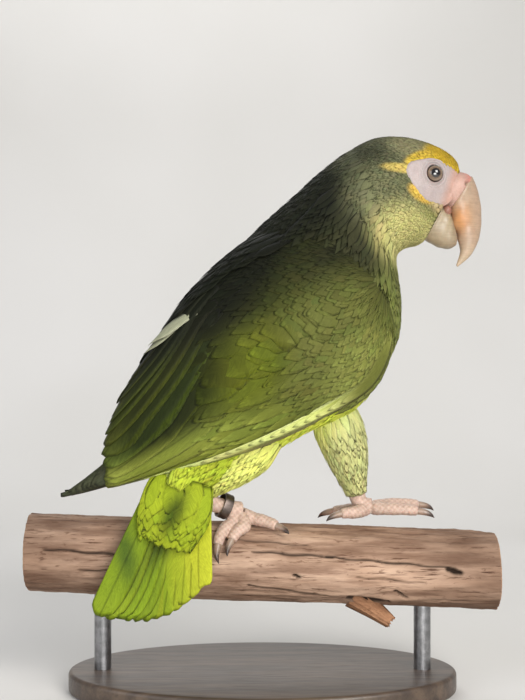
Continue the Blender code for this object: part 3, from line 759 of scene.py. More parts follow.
@dataclass(frozen=True)
class Tract:
    """Feathers in staggered columns down a surface, spaced by distance along it."""

    start: float  # first parameter where the roots start and end
    end: float
    columns: Array  # second parameter of each column
    spacing: float  # millimetres between roots down a column
    length: float  # millimetres
    overlap: float  # width as a share of the distance between columns
    high: float  # millimetres over the surface, at the tip and at the root
    low: float
    jitter: float = 0.16
    fade: float = 0.0  # how much lower the last rows stand, as a share

    def flock(self, surface: Surface, seed: int, scale: Callable | None = None) -> Flock:
        """Spaces the roots down each column by its running length over the spacing.

        Args:
            surface: what they grow on.
            seed: of their unevenness.
            scale: gives a factor for spacing and length at a, 1 where left out.

        Returns:
            The places of all feathers, the ones furthest down the surface first.
        """
        rng = np.random.default_rng(seed)
        a = np.linspace(self.start, surface.a_span[1], 240)
        size = scale(a) if scale else np.ones(a.shape)
        gap = abs(self.columns[1] - self.columns[0])
        found = []
        for number, b in enumerate(self.columns):
            _, _, by_a, by_b = surface.read(a, np.full(a.shape, b))
            metres = np.concatenate([[0], np.cumsum(np.linalg.norm(by_a[1:], axis=1) * np.diff(a))])
            gaps = np.diff(metres) / (self.spacing * MM * size[1:])
            steps = np.concatenate([[0], np.cumsum(gaps)])
            last = np.interp(self.end, a, steps)
            ticks = np.arange(0, last, 1.0) + 0.5 * (number % 2)
            ticks = ticks + rng.uniform(-1, 1, ticks.shape) * self.jitter
            root = np.interp(ticks, steps, a)
            length = self.length * MM * np.interp(root, a, size)
            length = length * rng.uniform(0.88, 1.14, ticks.shape)
            tip = np.interp(np.interp(root, a, metres) + length, metres, a)
            wide = np.interp(root, a, np.linalg.norm(by_b, axis=1)) * gap * self.overlap
            sideways = b + rng.uniform(-1, 1, ticks.shape) * gap * self.jitter
            turned = sideways + rng.normal(0, 0.12, ticks.shape) * gap
            wide = wide * rng.uniform(0.9, 1.15, ticks.shape)
            found.append(np.stack([root, sideways, tip, turned, wide]))
        found = np.concatenate(found, axis=1)
        found = found[:, np.argsort(-found[0], kind="stable")]
        high = self.high * MM * rng.uniform(0.85, 1.12, found.shape[1])
        high = high * (1 - self.fade * smooth_step(found[0], self.end - 0.7, self.end))
        return Flock(found[0:2].T, found[2:4].T, found[4], np.full(high.shape, self.low * MM), high)


@dataclass(frozen=True)
class Fan:
    """Long feathers in a row, each given by the ends of its row's even steps."""

    first: tuple  # the first root's and the last root's place on the surface
    last: tuple
    count: int
    tip_a: tuple  # the tips' first parameters, then their second ones
    tip_b: tuple
    widths: tuple  # the first's and the last's in millimetres
    heights: tuple  # the same at the tips; roots lie 1.2 mm lower
    bow: float = 0.0  # sideways bend of all

    def flock(self) -> Flock:
        """Spaces the feathers evenly, with the tips along a line through the given ones.

        Returns:
            Their places.
        """
        step = np.linspace(0, 1, self.count)
        spread = np.linspace(0, 1, len(self.tip_a))
        root = mixed(np.array(self.first), np.array(self.last), step[:, None])
        tips = (self.tip_a, self.tip_b)
        tip = np.stack([np.interp(step, spread, places) for places in tips], axis=1)
        width, high = (np.linspace(*ends, self.count) * MM for ends in (self.widths, self.heights))
        return Flock(root, tip, width, high - 1.2 * MM, high, self.bow)


# Rows, columns, root, belly, tip, rounding, camber, thickness, ragged end, lean.
HEAD_VANE = Vane(5, 5, 0.6, 0.45, 0.26, 0.20, 0.05, 0.03, 0.06, 0.015)
SOFT_VANE = Vane(7, 5, 0.5, 0.5, 0.26, 0.20, 0.05, 0.04, 0.06, 0.015)
SHOULDER_VANE = Vane(8, 5, 0.5, 0.5, 0.26, 0.20, 0.05, 0.05, 0.06, 0.015)
THIGH_VANE = Vane(8, 5, 0.5, 0.45, 0.26, 0.20, 0.05, 0.04, 0.08, 0.015)
CAPE_VANE = Vane(8, 5, 0.4, 0.6, 0.42, 0.20, 0.05, 0.10, 0.04, 0.02)
LESSER_VANE = Vane(7, 5, 0.5, 0.5, 0.30, 0.20, 0.045, 0.05, 0.03, 0.02)
GREATER_VANE = Vane(9, 5, 0.5, 0.5, 0.26, 0.14, 0.045, 0.06, 0.02, 0.03)
EDGE_VANE = Vane(12, 5, 0.6, 0.4, 0.4, 0.10, 0.04, 0.25, 0.01, 0.09)
SECONDARY_VANE = Vane(14, 7, 0.7, 0.35, 0.48, 0.08, 0.04, 0.4, 0.008, 0.08)
PRIMARY_VANE = Vane(16, 7, 0.8, 0.3, 0.16, 0.02, 0.04, 0.4, 0.004, 0.03)
TAIL_VANE = Vane(14, 9, 0.6, 0.75, 0.74, 0.07, 0.04, 0.4, 0.008, 0.06)
VENT_VANE = Vane(10, 5, 0.5, 0.5, 0.3, 0.14, 0.03, 0.05, 0.05, 0.01)

# Start, end, columns, spacing, length, overlap, heights at tip and root, jitter, fade.
HEAD_TRACT = Tract(0.05, 4.7, turns(112, 0.5), 1.25, 7.2, 2.1, 0.85, 0.1)
NECK_TRACT = Tract(4.2, 7.3, turns(76, 0.5), 2.6, 12.5, 2.0, 1.5, 0.2)
TRUNK_TRACT = Tract(6.7, 11.9, turns(68, 0.5), 3.8, 18.0, 2.2, 2.0, 0.3)
SHOULDER_TRACT = Tract(5.2, 6.35, np.radians(np.linspace(52, 128, 20)), 3.4, 17, 2.0, 5.0, 1.0)
THIGH_TRACT = Tract(0.0, 2.72, turns(32, 0.5), 2.4, 16.0, 2.4, 2.1, 0.3)
CAPE_TRACT = Tract(1.6, 5.0, np.radians(np.linspace(-44, 44, 22)), 4.8, 20, 2.0, 2.2, 0.6)
VENT_TRACT = Tract(0.0, 1.25, turns(24, 0.5), 2.6, 19, 3.0, 0.8, 0.12, 0.4, 0.85)
LESSER_TRACT = Tract(0.02, 2.3, np.linspace(0.02, 0.94, 32), 3.3, 13.5, 2.2, 1.4, 0.3)
MEDIAN_TRACT = Tract(1.9, 3.0, np.linspace(0.03, 0.885, 26), 6.0, 25, 1.9, 1.4, 0.3, 0.10, 0.35)
GREATER_TRACT = Tract(2.6, 4.1, np.linspace(0.04, 0.845, 20), 10.0, 38, 1.9, 1.3, 0.4, 0.10, 0.45)

EDGE_FAN = Fan(
    (0.9, 0.88),
    (3.2, 0.89),
    20,
    (2.6, 3.6, 4.6, 5.8, 7.25),
    (0.865, 0.845, 0.85, 0.90, 0.95),
    (7.0, 4.5),
    (2.3, 1.8),
)
SECONDARY_FAN = Fan(
    (3.45, 0.05),
    (3.55, 0.74),
    11,
    (6.2, 6.7, 7.0, 7.22, 7.37, 7.44),
    (0.06, 0.24, 0.42, 0.60, 0.76, 0.90),
    (15.5, 11),
    (2.6, 1.6),
    0.03,
)
TERTIAL_FAN = Fan(
    (3.2, 0.02),
    (3.3, 0.18),
    4,
    (5.4, 6.0, 6.5),
    (0.03, 0.11, 0.20),
    (15, 15),
    (3.0, 2.7),
    0.02,
)
PRIMARY_FAN = Fan(
    (3.9, 0.70),
    (3.9, 0.95),
    10,
    (7.6, 7.8, 8.0, 8.3, 8.7, 8.8, 8.3),
    (0.66, 0.66, 0.66, 0.69, 0.73, 0.79, 0.90),
    (12.5, 9.5),
    (1.5, 0.8),
)


# ---------------------------------------------------------------- colours and markings


@dataclass(frozen=True)
class Marking:
    """An elliptical patch of colour as seen from the side, in millimetres and degrees."""

    x: float
    z: float
    along: float
    across: float
    tilt: float  # of the long axis, from +X towards +Z
    tint: tuple  # display colours of a feather's middle and of its edge
    rim: tuple
    softness: float = 0.4

    def share(self, points: Array) -> Array:
        """How far inside the ellipse places are.

        Args:
            points: in metres, one row each.

        Returns:
            1 inside it and 0 outside it, eased over the softness.
        """
        x = points[:, 0] / MM - self.x
        z = points[:, 2] / MM - self.z
        cos, sin = math.cos(math.radians(self.tilt)), math.sin(math.radians(self.tilt))
        far = np.hypot((x * cos + z * sin) / self.along, (z * cos - x * sin) / self.across)
        return 1 - smooth_step(far, 1 - self.softness, 1 + self.softness)


@dataclass(frozen=True)
class Pattern:
    """A ground colour with markings laid over it in order."""

    tint: tuple
    rim: tuple
    markings: tuple = ()

    def __call__(self, points: Array) -> tuple[Array, Array]:
        """Lays the markings over the ground colour.

        Args:
            points: in metres, one row each.

        Returns:
            The colours of a feather's middle and of its edge at each point.
        """
        tint, rim = (np.tile(srgb(*colour), (len(points), 1)) for colour in (self.tint, self.rim))
        for marking in self.markings:
            share = marking.share(points)[:, None]
            tint = mixed(tint, srgb(*marking.tint), share)
            rim = mixed(rim, srgb(*marking.rim), share)
        return tint, rim


BODY_PATTERN = Pattern(
    (92, 98, 47),
    (104, 110, 54),
    (
        Marking(-14, 214, 92, 36, 48, (24, 26, 17), (18, 20, 13), 0.5),  # back: its own dark green, deepened by painted shade
        Marking(40, 234, 38, 26, 32, (29, 31, 22), (21, 23, 17), 0.6),  # hind neck: its own dark green, deepened by painted shade
        Marking(62, 254, 26, 12, 2, (112, 113, 84), (64, 67, 47), 0.5),  # crown
        Marking(50, 246, 13, 14, 0, (54, 56, 43), (34, 36, 27), 0.6),  # nape
        Marking(58, 231, 19, 18, -40, (102, 103, 74), (76, 79, 54), 0.5),  # ear and side of neck
        Marking(72, 258, 12, 6, -10, (132, 128, 94), (92, 92, 64), 0.5),  # front of crown
        Marking(62, 190, 17, 28, 8, (96, 98, 56), (80, 84, 46), 0.5),  # upper breast
        Marking(43, 202, 12, 20, 20, (52, 53, 34), (40, 42, 27), 0.6),  # over the shoulder: its own dark green, deepened by painted shade
        Marking(69, 214, 18, 14, -25, (182, 176, 114), (150, 147, 90), 0.5),  # throat and cheek
        Marking(46, 158, 36, 22, 60, (112, 118, 60), (102, 110, 52), 0.5),  # breast
        Marking(10, 122, 46, 22, 34, (216, 226, 84), (210, 222, 78), 0.5),  # belly
        Marking(-24, 104, 24, 18, 30, (170, 184, 54), (176, 190, 60), 0.6),  # vent
        Marking(85, 230.5, 7, 5, -20, (178, 158, 116), (172, 152, 108), 0.5),  # mouth corner
        Marking(87.5, 251.5, 12, 8, -32, (186, 156, 48), (178, 146, 42), 0.2),  # forehead
        Marking(73.5, 251.8, 7.5, 3.0, 25, (194, 164, 62), (174, 150, 62), 0.3),  # over the eye
        # A streak behind the eye.
        Marking(63.5, 246.2, 7.8, 2.2, -6, (190, 168, 92), (178, 156, 78), 0.3),
        Marking(73.8, 234.4, 6.6, 3.4, -30, (200, 166, 76), (188, 154, 64), 0.3),  # cheek patch
    ),
)
BARE_PATTERN = Pattern(
    (140, 128, 96),
    (140, 128, 96),
    (
        Marking(93, 238, 12, 16, 20, (166, 130, 116), (166, 130, 116), 0.3),  # lores
        Marking(84, 224, 8, 7, 0, (152, 124, 104), (152, 124, 104), 0.4),  # gape
    ),
)
WING_PATTERN = Pattern(
    (76, 81, 32),
    (104, 110, 46),
    (
        Marking(-24, 200, 92, 36, 47, (20, 22, 13), (30, 32, 19), 0.5),  # scapulars: their own dark green, deepened by painted shade
        Marking(42, 202, 30, 22, 44, (32, 33, 20), (42, 43, 26), 0.6),  # shoulder: its own dark green, deepened by painted shade
        Marking(32, 168, 32, 20, 50, (88, 91, 44), (108, 112, 56), 0.6),  # middle coverts
        Marking(44, 150, 22, 13, 60, (108, 112, 54), (142, 146, 80), 0.6),  # bend of the wing
        Marking(-6, 152, 20, 14, 50, (78, 83, 22), (118, 127, 36), 0.6),  # greater coverts
        Marking(-44, 134, 34, 16, 46, (28, 33, 8), (66, 74, 22), 0.5),  # upper secondaries
        Marking(-44, 108, 50, 9, 26, (112, 120, 46), (172, 180, 82), 0.6),  # lower secondaries
    ),
)
PRIMARY_PATTERN = Pattern(
    (60, 64, 34), (128, 134, 84), (Marking(-82, 98, 24, 12, 20, (40, 42, 30), (84, 87, 64)),)
)
EDGE_PATTERN = Pattern(
    (168, 176, 92),
    (226, 232, 158),
    (Marking(48, 152, 20, 34, 20, (88, 94, 42), (118, 123, 62), 0.7),),
)
# The cape's own dark green, deepened by painted shade.
CAPE_PATTERN = Pattern(
    (20, 22, 14), (28, 30, 20), (Marking(36, 240, 30, 16, 40, (40, 42, 30), (26, 28, 20)),)
)
CHALK_PATTERN = Pattern((142, 145, 118), (156, 158, 132))
TAIL_PATTERN = Pattern(
    (108, 128, 26),
    (126, 144, 36),
    (
        Marking(-28, 68, 13, 40, 0, (160, 166, 42), (168, 174, 50), 0.6),  # outer edge
        Marking(-44, 78, 17, 4.5, 63, (54, 66, 20), (62, 74, 24), 0.8),  # the shadowed middle
        Marking(-62, 70, 14, 4, -79, (66, 86, 24), (78, 96, 30), 0.8),  # painted shade between the outer feathers
    ),
)
# Its marking is a painted shadow where the coverts meet the tail.
VENT_PATTERN = Pattern(
    (136, 150, 34), (148, 162, 42), (Marking(-40, 88, 10, 4, 63, (66, 78, 22), (78, 90, 26), 0.8),)
)
THIGH_PATTERN = Pattern(
    (214, 218, 112),
    (220, 222, 130),
    (Marking(44, 108, 16, 30, 0, (186, 188, 124), (196, 198, 140)),),
)


class BareRing:
    """The bare, teardrop-shaped skin round each eye, and where it ends."""

    CENTRE = (80.6 * MM, 244.2 * MM)
    # Millimetres from ahead, upwards and round; ahead and below it meets the cere.
    REACH = (13.4, 12.8, 8.6, 7.2, 6.9, 8.0, 14.0, 11.8, 11.2, 13.4, 14.6, 14.6, 13.2, 12.6)
    BEARING = (0, 13, 30, 60, 90, 132, 168, 198, 226, 256, 280, 300, 316, 338)  # degrees

    @classmethod
    def reach(cls, bearing: Array) -> Array:
        """The ring's radius, smoothly through the named ones.

        Args:
            bearing: radians from ahead.

        Returns:
            The radii in metres.
        """
        places = np.array(cls.BEARING + (360,)) / 360 * TURN
        values = np.array(cls.REACH + (cls.REACH[0],)) * MM
        around = np.mod(bearing, TURN)
        plain = np.interp(around, places, values)
        beside = (np.mod(around + shift, TURN) for shift in (-0.16, 0.16))
        return (plain + sum(np.interp(near, places, values) for near in beside)) / 3

    @classmethod
    def holds(cls, points: Array, margin: float) -> Array:
        """Whether points seen from the side are inside the ring less a margin."""
        x = points[:, 0] - cls.CENTRE[0]
        z = points[:, 2] - cls.CENTRE[1]
        return np.hypot(x, z) < cls.reach(np.arctan2(z, x)) - margin


# ---------------------------------------------------------------- finishes


class Graph:
    """A new material's node tree, with short ways to add to it."""

    def __init__(self, name: str, roughness: float, metallic: float = 0.0, **fixed: float) -> None:
        """Makes the material.

        Args:
            name: the material's name.
            roughness: of the shader.
            metallic: of the shader.
            fixed: further sockets of the shader by name, their spaces as underscores.
        """
        self.material = bpy.data.materials.new(name)
        self.material.use_nodes = True
        self.tree = self.material.node_tree
        self.shader = self.tree.nodes["Principled BSDF"]
        self.set("Roughness", roughness)
        self.set("Metallic", metallic)
        for socket, value in fixed.items():
            self.set(socket.replace("_", " "), value)

    def set(self, socket: str, value: object) -> None:
        """Sets or links one socket of the shader."""
        self.feed(self.shader.inputs[socket], value)

    def feed(self, socket: Socket, value: object) -> None:
        """Links a socket to another's output, or gives it a colour or a plain value.

        Args:
            socket: an input.
            value: another's output, an array with a colour, or what the input takes.
        """
        if isinstance(value, Socket):
            self.tree.links.new(value, socket)
        elif isinstance(value, np.ndarray):
            socket.default_value = (*value, 1.0)[: len(socket.default_value)]
        else:
            socket.default_value = value

    def node(self, kind: str, inputs: dict | None = None, **settings: object) -> bpy.types.Node:
        """Adds a node.

        Args:
            kind: its type without ShaderNode.
            inputs: what feeds its sockets, by their names or numbers.
            settings: its own properties.

        Returns:
            The new node.
        """
        made = self.tree.nodes.new("ShaderNode" + kind)
        for key, value in settings.items():
            setattr(made, key, value)
        for socket, value in (inputs or {}).items():
            self.feed(made.inputs[socket], value)
        return made

    def math(self, operation: str, first: object, second: object = 0.0) -> Socket:
        """One sum over two values."""
        return self.node("Math", {0: first, 1: second}, operation=operation).outputs[0]

    def times(self, first: object, second: object) -> Socket:
        """The product of two values."""
        return self.math("MULTIPLY", first, second)

    def eased(
        self, value: object, low: float, high: float, start: float = 0.0, end: float = 1.0
    ) -> Socket:
        """A smooth step of value from low to high, giving start to end."""
        numbers = dict(enumerate((value, low, high, start, end)))
        return self.node("MapRange", numbers, interpolation_type="SMOOTHSTEP").outputs[0]

    def blend(self, share: object, first: object, second: object, kind: str = "MIX") -> Socket:
        """Two colours mixed by a share."""
        colours = {0: share, 6: first, 7: second}
        return self.node("Mix", colours, data_type="RGBA", blend_type=kind).outputs[2]

    def colour(self, name: str) -> Socket:
        """A colour stored on the mesh."""
        return self.node("Attribute", attribute_name=name).outputs["Color"]

    def places(self, stretch: tuple = (1, 1, 1), turn: tuple = (0, 0, 0)) -> Socket:
        """Object coordinates, scaled and turned."""
        made = self.node("Mapping", {"Scale": stretch, "Rotation": turn})
        self.feed(made.inputs["Vector"], self.node("TexCoord").outputs["Object"])
        return made.outputs[0]

    def noise(
        self, vector: object, scale: float, detail: float = 3.0, rough: float = 0.5
    ) -> Socket:
        """Noise from 0 to 1."""
        inputs = {"Vector": vector, "Scale": scale, "Detail": detail, "Roughness": rough}
        return self.node("TexNoise", inputs).outputs["Fac"]

    def shaded(self, colour: object, factor: object) -> Socket:
        """A colour times a number."""
        return self.node("VectorMath", {0: colour, "Scale": factor}, operation="SCALE").outputs[0]

    def bump(
        self, height: object, distance: float, strength: float, under: object = None
    ) -> Socket:
        """A bumped normal.

        Args:
            height: of the bumps, as a share.
            distance: what a share of 1 stands for, in millimetres.
            strength: of the bumps.
            under: a normal to stand on.

        Returns:
            The normal.
        """
        inputs = {"Height": height, "Distance": distance * MM, "Strength": strength}
        if under is not None:
            inputs["Normal"] = under
        return self.node("Bump", inputs).outputs[0]

    def finished(self, **sockets: object) -> Material:
        """The material, after a last few of the shader's sockets."""
        for socket, value in sockets.items():
            self.set(socket.replace("_", " "), value)
        return self.material


@dataclass(frozen=True)
class PlumageFinish:
    """Feathers: a middle and an edge colour, barbs slanting off a shaft, painted shade towards the
    root, and a soft sheen.
    """

    name: str
    edge: float = 0.55  # where across the vane the edge colour starts
    barbs: float = 26.0  # barbs' texture scale
    contrast: float = 0.34
    roughness: float = 0.75
    shaft: float = 0.0  # darkness of the shaft's line
    tip: float = 0.45  # how far the edge colour takes the end

    def material(self) -> Material:
        """Builds the finish.

        Returns:
            The new material.
        """
        sheen = {"Sheen_Weight": 0.02, "Sheen_Roughness": 0.4}
        g = Graph(self.name, self.roughness, **sheen, Specular_IOR_Level=0.08)
        place = g.node("SeparateXYZ")
        g.feed(place.inputs[0], g.node("UVMap", uv_map="Vane").outputs[0])
        along, across = place.outputs[0], place.outputs[1]
        off = g.math("ABSOLUTE", g.math("SUBTRACT", g.times(across, 2.0), 1.0))
        barb = g.node("CombineXYZ")
        g.feed(barb.inputs[0], g.math("SUBTRACT", along, g.times(off, 0.35)))
        g.feed(barb.inputs[1], g.times(across, 0.10))
        g.feed(barb.inputs[2], g.times(g.noise(g.places(), 60.0, 1.0), 0.6))
        streaks = g.noise(barb.outputs[0], self.barbs, 3.0, 0.6)
        side = g.eased(off, self.edge, 1.0)
        end = g.eased(along, 0.74, 1.0)
        share = g.math("MAXIMUM", side, g.times(end, self.tip))
        share = g.times(share, g.eased(streaks, 0.25, 0.65, 0.55, 1.0))
        colour = g.blend(share, g.colour("tint"), g.colour("rim"))
        # Painted shade: each feather is a little darker towards its root, where the feathers over
        # it lie.
        root = g.eased(along, 0.0, 0.4, 0.95, 1.0)
        value = g.eased(streaks, 0.25, 0.75, 1 - self.contrast / 2, 1 + self.contrast / 2)
        line = g.eased(off, 0.02, 0.10, 1 - self.shaft, 1.0)
        colour = g.shaded(colour, g.times(g.times(value, root), line))
        return g.finished(Base_Color=colour, Normal=g.bump(streaks, 0.25, 0.7))


@dataclass(frozen=True)
class SkinFinish:
    """Bare skin with fine wrinkles and pores or scales, coloured by the mesh, with painted shade
    where they lie low.
    """

    name: str
    grain: float  # wrinkles in a metre
    depth: float  # millimetres
    roughness: float = 0.55
    beads: float = 0.4  # how much the scales stand out against the wrinkles

    def material(self) -> Material:
        """Builds the finish.

        Returns:
            The new material.
        """
        g = Graph(self.name, self.roughness, Subsurface_Weight=0.08, Subsurface_Scale=1.5 * MM)
        wrinkle = g.noise(g.places(), self.grain, 4.0, 0.65)
        pores = g.node("TexVoronoi", feature="F1")
        g.feed(pores.inputs["Vector"], g.places())
        g.feed(pores.inputs["Scale"], self.grain * 1.6)
        bead = g.eased(pores.outputs["Distance"], 0.1, 0.6, 1.0, 0.0)
        height = g.math("ADD", g.times(bead, self.beads), wrinkle)
        blotch = g.noise(g.places(), 260.0, 4.0)
        # Painted shade and highlight: darker where the wrinkles and scales lie low, a little
        # lighter where they stand high.
        relief = g.eased(height, 0.3, 0.9, 0.90, 1.04)
        value = g.times(relief, g.eased(blotch, 0.3, 0.7, 0.93, 1.06))
        colour = g.shaded(g.colour("tint"), value)
        return g.finished(Base_Color=colour, Normal=g.bump(height, self.depth, 0.8))


@dataclass(frozen=True)
class HornFinish:
    """Bill and claws: smooth horn with growth lines across it."""

    name: str
    roughness: float = 0.36

    def material(self) -> Material:
        """Builds the finish.

        Returns:
            The new material.
        """
        gloss = {"Coat_Weight": 0.12, "Coat_Roughness": 0.25}
        g = Graph(self.name, self.roughness, **gloss, Subsurface_Weight=0.06)
        growth = g.noise(g.places((60.0, 60.0, 420.0), (0, 0.3, 0)), 3.0, 4.0)
        chalk = g.noise(g.places(), 420.0, 5.0, 0.6)
        value = g.times(g.eased(growth, 0.3, 0.7, 0.88, 1.06), g.eased(chalk, 0.3, 0.7, 0.92, 1.05))
        return g.finished(
            Base_Color=g.shaded(g.colour("tint"), value),
            Roughness=g.eased(chalk, 0.3, 0.7, self.roughness - 0.05, self.roughness + 0.14),
            Normal=g.bump(growth, 0.12, 0.5, g.bump(chalk, 0.05, 0.5)),
        )


@dataclass(frozen=True)
class GlassFinish:
    """The wet eye, coloured by the mesh."""

    name: str = "eye_glass"

    def material(self) -> Material:
        """Builds the finish.

        Returns:
            The new material.
        """
        g = Graph(self.name, 0.12, Coat_Weight=1.0, Coat_Roughness=0.02, Specular_IOR_Level=0.6)
        streak = g.noise(g.places(), 1400.0, 2.0)
        colour = g.shaded(g.colour("tint"), g.eased(streak, 0.3, 0.7, 0.85, 1.15))
        return g.finished(Base_Color=colour)


@dataclass(frozen=True)
class BranchFinish:
    """Weathered, barkless wood: long grain, checks darkened by painted shade, and a bleached
    surface.
    """

    name: str = "branch_wood"

    def material(self) -> Material:
        """Builds the finish.

        Returns:
            The new material.
        """
        g = Graph(self.name, 0.86, Specular_IOR_Level=0.2)
        broad = g.noise(g.places((14, 90, 90)), 1.0, 5.0, 0.6)
        fine = g.noise(g.places((60, 900, 900)), 1.0, 4.0, 0.65)
        specks = g.noise(g.places((150, 420, 420)), 1.0, 3.0, 0.7)
        # Painted shade: the fine checks, where the bump sinks, are coloured dark.
        check = g.eased(fine, 0.30, 0.44)
        tone = g.blend(g.eased(broad, 0.35, 0.68), srgb(136, 110, 94), srgb(208, 182, 162))
        tone = g.blend(g.eased(specks, 0.58, 0.72), tone, srgb(132, 106, 90))
        tone = g.blend(check, srgb(98, 72, 58), tone)
        colour = g.blend(1.0, tone, g.colour("tint"), "MULTIPLY")
        normal = g.bump(specks, 0.35, 0.6, g.bump(fine, 0.5, 0.8))
        return g.finished(Base_Color=colour, Normal=normal)


@dataclass(frozen=True)
class MetalFinish:
    """Satin metal with fine scratches."""

    name: str
    colour: tuple
    roughness: float

    def material(self) -> Material:
        """Builds the finish.

        Returns:
            The new material.
        """
        g = Graph(self.name, self.roughness, 1.0)
        scratch = g.noise(g.places((400.0, 400.0, 60.0)), 4.0, 3.0, 0.6)
        wear = g.noise(g.places(), 300.0, 4.0, 0.6)
        return g.finished(
            Base_Color=g.shaded(srgb(*self.colour), g.eased(wear, 0.35, 0.7, 0.72, 1.1)),
            Roughness=g.eased(scratch, 0.2, 0.8, self.roughness - 0.08, self.roughness + 0.16),
            Normal=g.bump(scratch, 0.03, 0.5),
        )


@dataclass(frozen=True)
class LacquerFinish:
    """The stand's dark lacquered wood, its grain along X."""

    name: str = "stand_lacquer"

    def material(self) -> Material:
        """Builds the finish.

        Returns:
            The new material.
        """
        g = Graph(self.name, 0.42, Coat_Weight=0.25, Coat_Roughness=0.3)
        grain = g.noise(g.places((9, 120, 60)), 2.0, 5.0, 0.6)
        pores = g.noise(g.places((60, 1500, 900)), 1.0, 3.0, 0.6)
        tone = g.blend(g.eased(grain, 0.35, 0.7), srgb(62, 50, 42), srgb(92, 76, 62))
        return g.finished(
            Base_Color=g.shaded(tone, g.eased(pores, 0.3, 0.45, 0.75, 1.0)),
            Roughness=g.eased(pores, 0.3, 0.6, 0.55, 0.4),
            Normal=g.bump(pores, 0.05, 0.5),
        )


@dataclass(frozen=True)
class PaperFinish:
    """The studio's pale floor."""

    name: str = "floor_paper"

    def material(self) -> Material:
        """Builds the finish.

        Returns:
            The new material.
        """
        g = Graph(self.name, 0.9)
        mottle = g.noise(g.places(), 3.0, 2.0)
        tone = g.blend(g.eased(mottle, 0.3, 0.7), srgb(214, 212, 208), srgb(220, 218, 215))
        return g.finished(Base_Color=tone)


# ---------------------------------------------------------------- the bird


@dataclass
class Body:
    """Head, neck and trunk: the loft, the skin below the coat, and the coat's tracts."""

    # Millimetres at each station.
    coat: tuple = (0.5, 0.7, 1.3, 1.5, 1.8, 2.2, 2.8, 3.2, 3.4, 3.4, 3.0, 2.6, 2.2)
    voxel: float = 1.25 * MM
    gape: tuple = (86.5, 230.0)  # x and z of the corner of the mouth, in millimetres
    gape_radius: float = 4.6  # of the bare place there
    face_end: float = 1.9  # station where the face's piece gives way to the crown's
    wing_start: float = 7.9  # station behind which the wings hide the trunk
    wing_angles: tuple = (28, 86)  # degrees from the top that they hide
    skin: Surface = field(init=False)

    def __post_init__(self) -> None:
        """Samples the loft and moves it in by the coat's depth."""
        b_span = (-0.5, TURN + 0.5)
        a = np.linspace(0, len(BODY) - 1, 241)[:, None]
        b = np.linspace(*b_span, 301)[None, :]
        outside = Surface(section_points(BODY, a, b), (0, len(BODY) - 1), b_span, -1.0)
        self.skin = outside.inset(spline(self.coat, a)[..., None] * MM)

    def skin_shell(self) -> Shell:
        """The skin as a closed loft."""
        at = np.linspace(0, len(BODY) - 1, 150)[:, None]
        rings, *_ = self.skin.read(*np.broadcast_arrays(at, turns(110)))
        return tube(rings)

    def dress(self, finish: Material) -> None:
        """Lays the head's, the neck's and the trunk's feathers, and those over the wings.

        Args:
            finish: the feathers'.
        """

        def finer(a: Array) -> Array:
            """Feathers shrink towards the bill."""
            return mixed(0.55, 1.0, smooth_step(a, 0.2, 3.6))

        def cover(name: str, flock: Flock, vane: Vane, seed: int, slot: str, node: str) -> None:
            """Lays one flock as a piece."""
            coat = lay(self.skin, flock, vane, BODY_PATTERN, seed)
            coat.piece("plumage_" + name, finish, slot, node)

        flock = HEAD_TRACT.flock(self.skin, 11, finer)
        halfway = flock.root[:, 0] * 0.5 + flock.tip[:, 0] * 0.5
        places, *_ = self.skin.read(halfway, flock.root[:, 1])
        x, _, z = places.T / MM
        gape = np.hypot(x - self.gape[0], z - self.gape[1]) < self.gape_radius
        flock = flock.kept(~(BareRing.holds(places, 0.5 * MM) | gape))
        front = flock.root[:, 0] < self.face_end
        cover("face", flock.kept(front), HEAD_VANE, 12, "head_plumage", "head")
        cover("crown", flock.kept(~front), HEAD_VANE, 17, "head_plumage", "head")
        cover("neck", NECK_TRACT.flock(self.skin, 13), SOFT_VANE, 14, "body_plumage", "neck")
        flock = TRUNK_TRACT.flock(self.skin, 15)
        angle = np.mod(flock.root[:, 1], TURN)
        angle = np.degrees(np.minimum(angle, TURN - angle))
        low, high = self.wing_angles
        hidden = (angle > low) & (angle < high) & (flock.root[:, 0] > self.wing_start)
        cover("trunk", flock.kept(~hidden), SOFT_VANE, 16, "body_plumage", "trunk")
        self.cover_shoulders(finish)

    def cover_shoulders(self, finish: Material) -> None:
        """Lays longer feathers of the neck's sides over the front edges of both wings.

        Args:
            finish: the feathers'.
        """
        other = replace(SHOULDER_TRACT, columns=TURN - SHOULDER_TRACT.columns)
        coats = [
            lay(self.skin, tract.flock(self.skin, 18 + k), SHOULDER_VANE, BODY_PATTERN, 20 + k)
            for k, tract in enumerate((SHOULDER_TRACT, other))
        ]
        Coat.joined(coats).piece("plumage_shoulders", finish, "body_plumage")


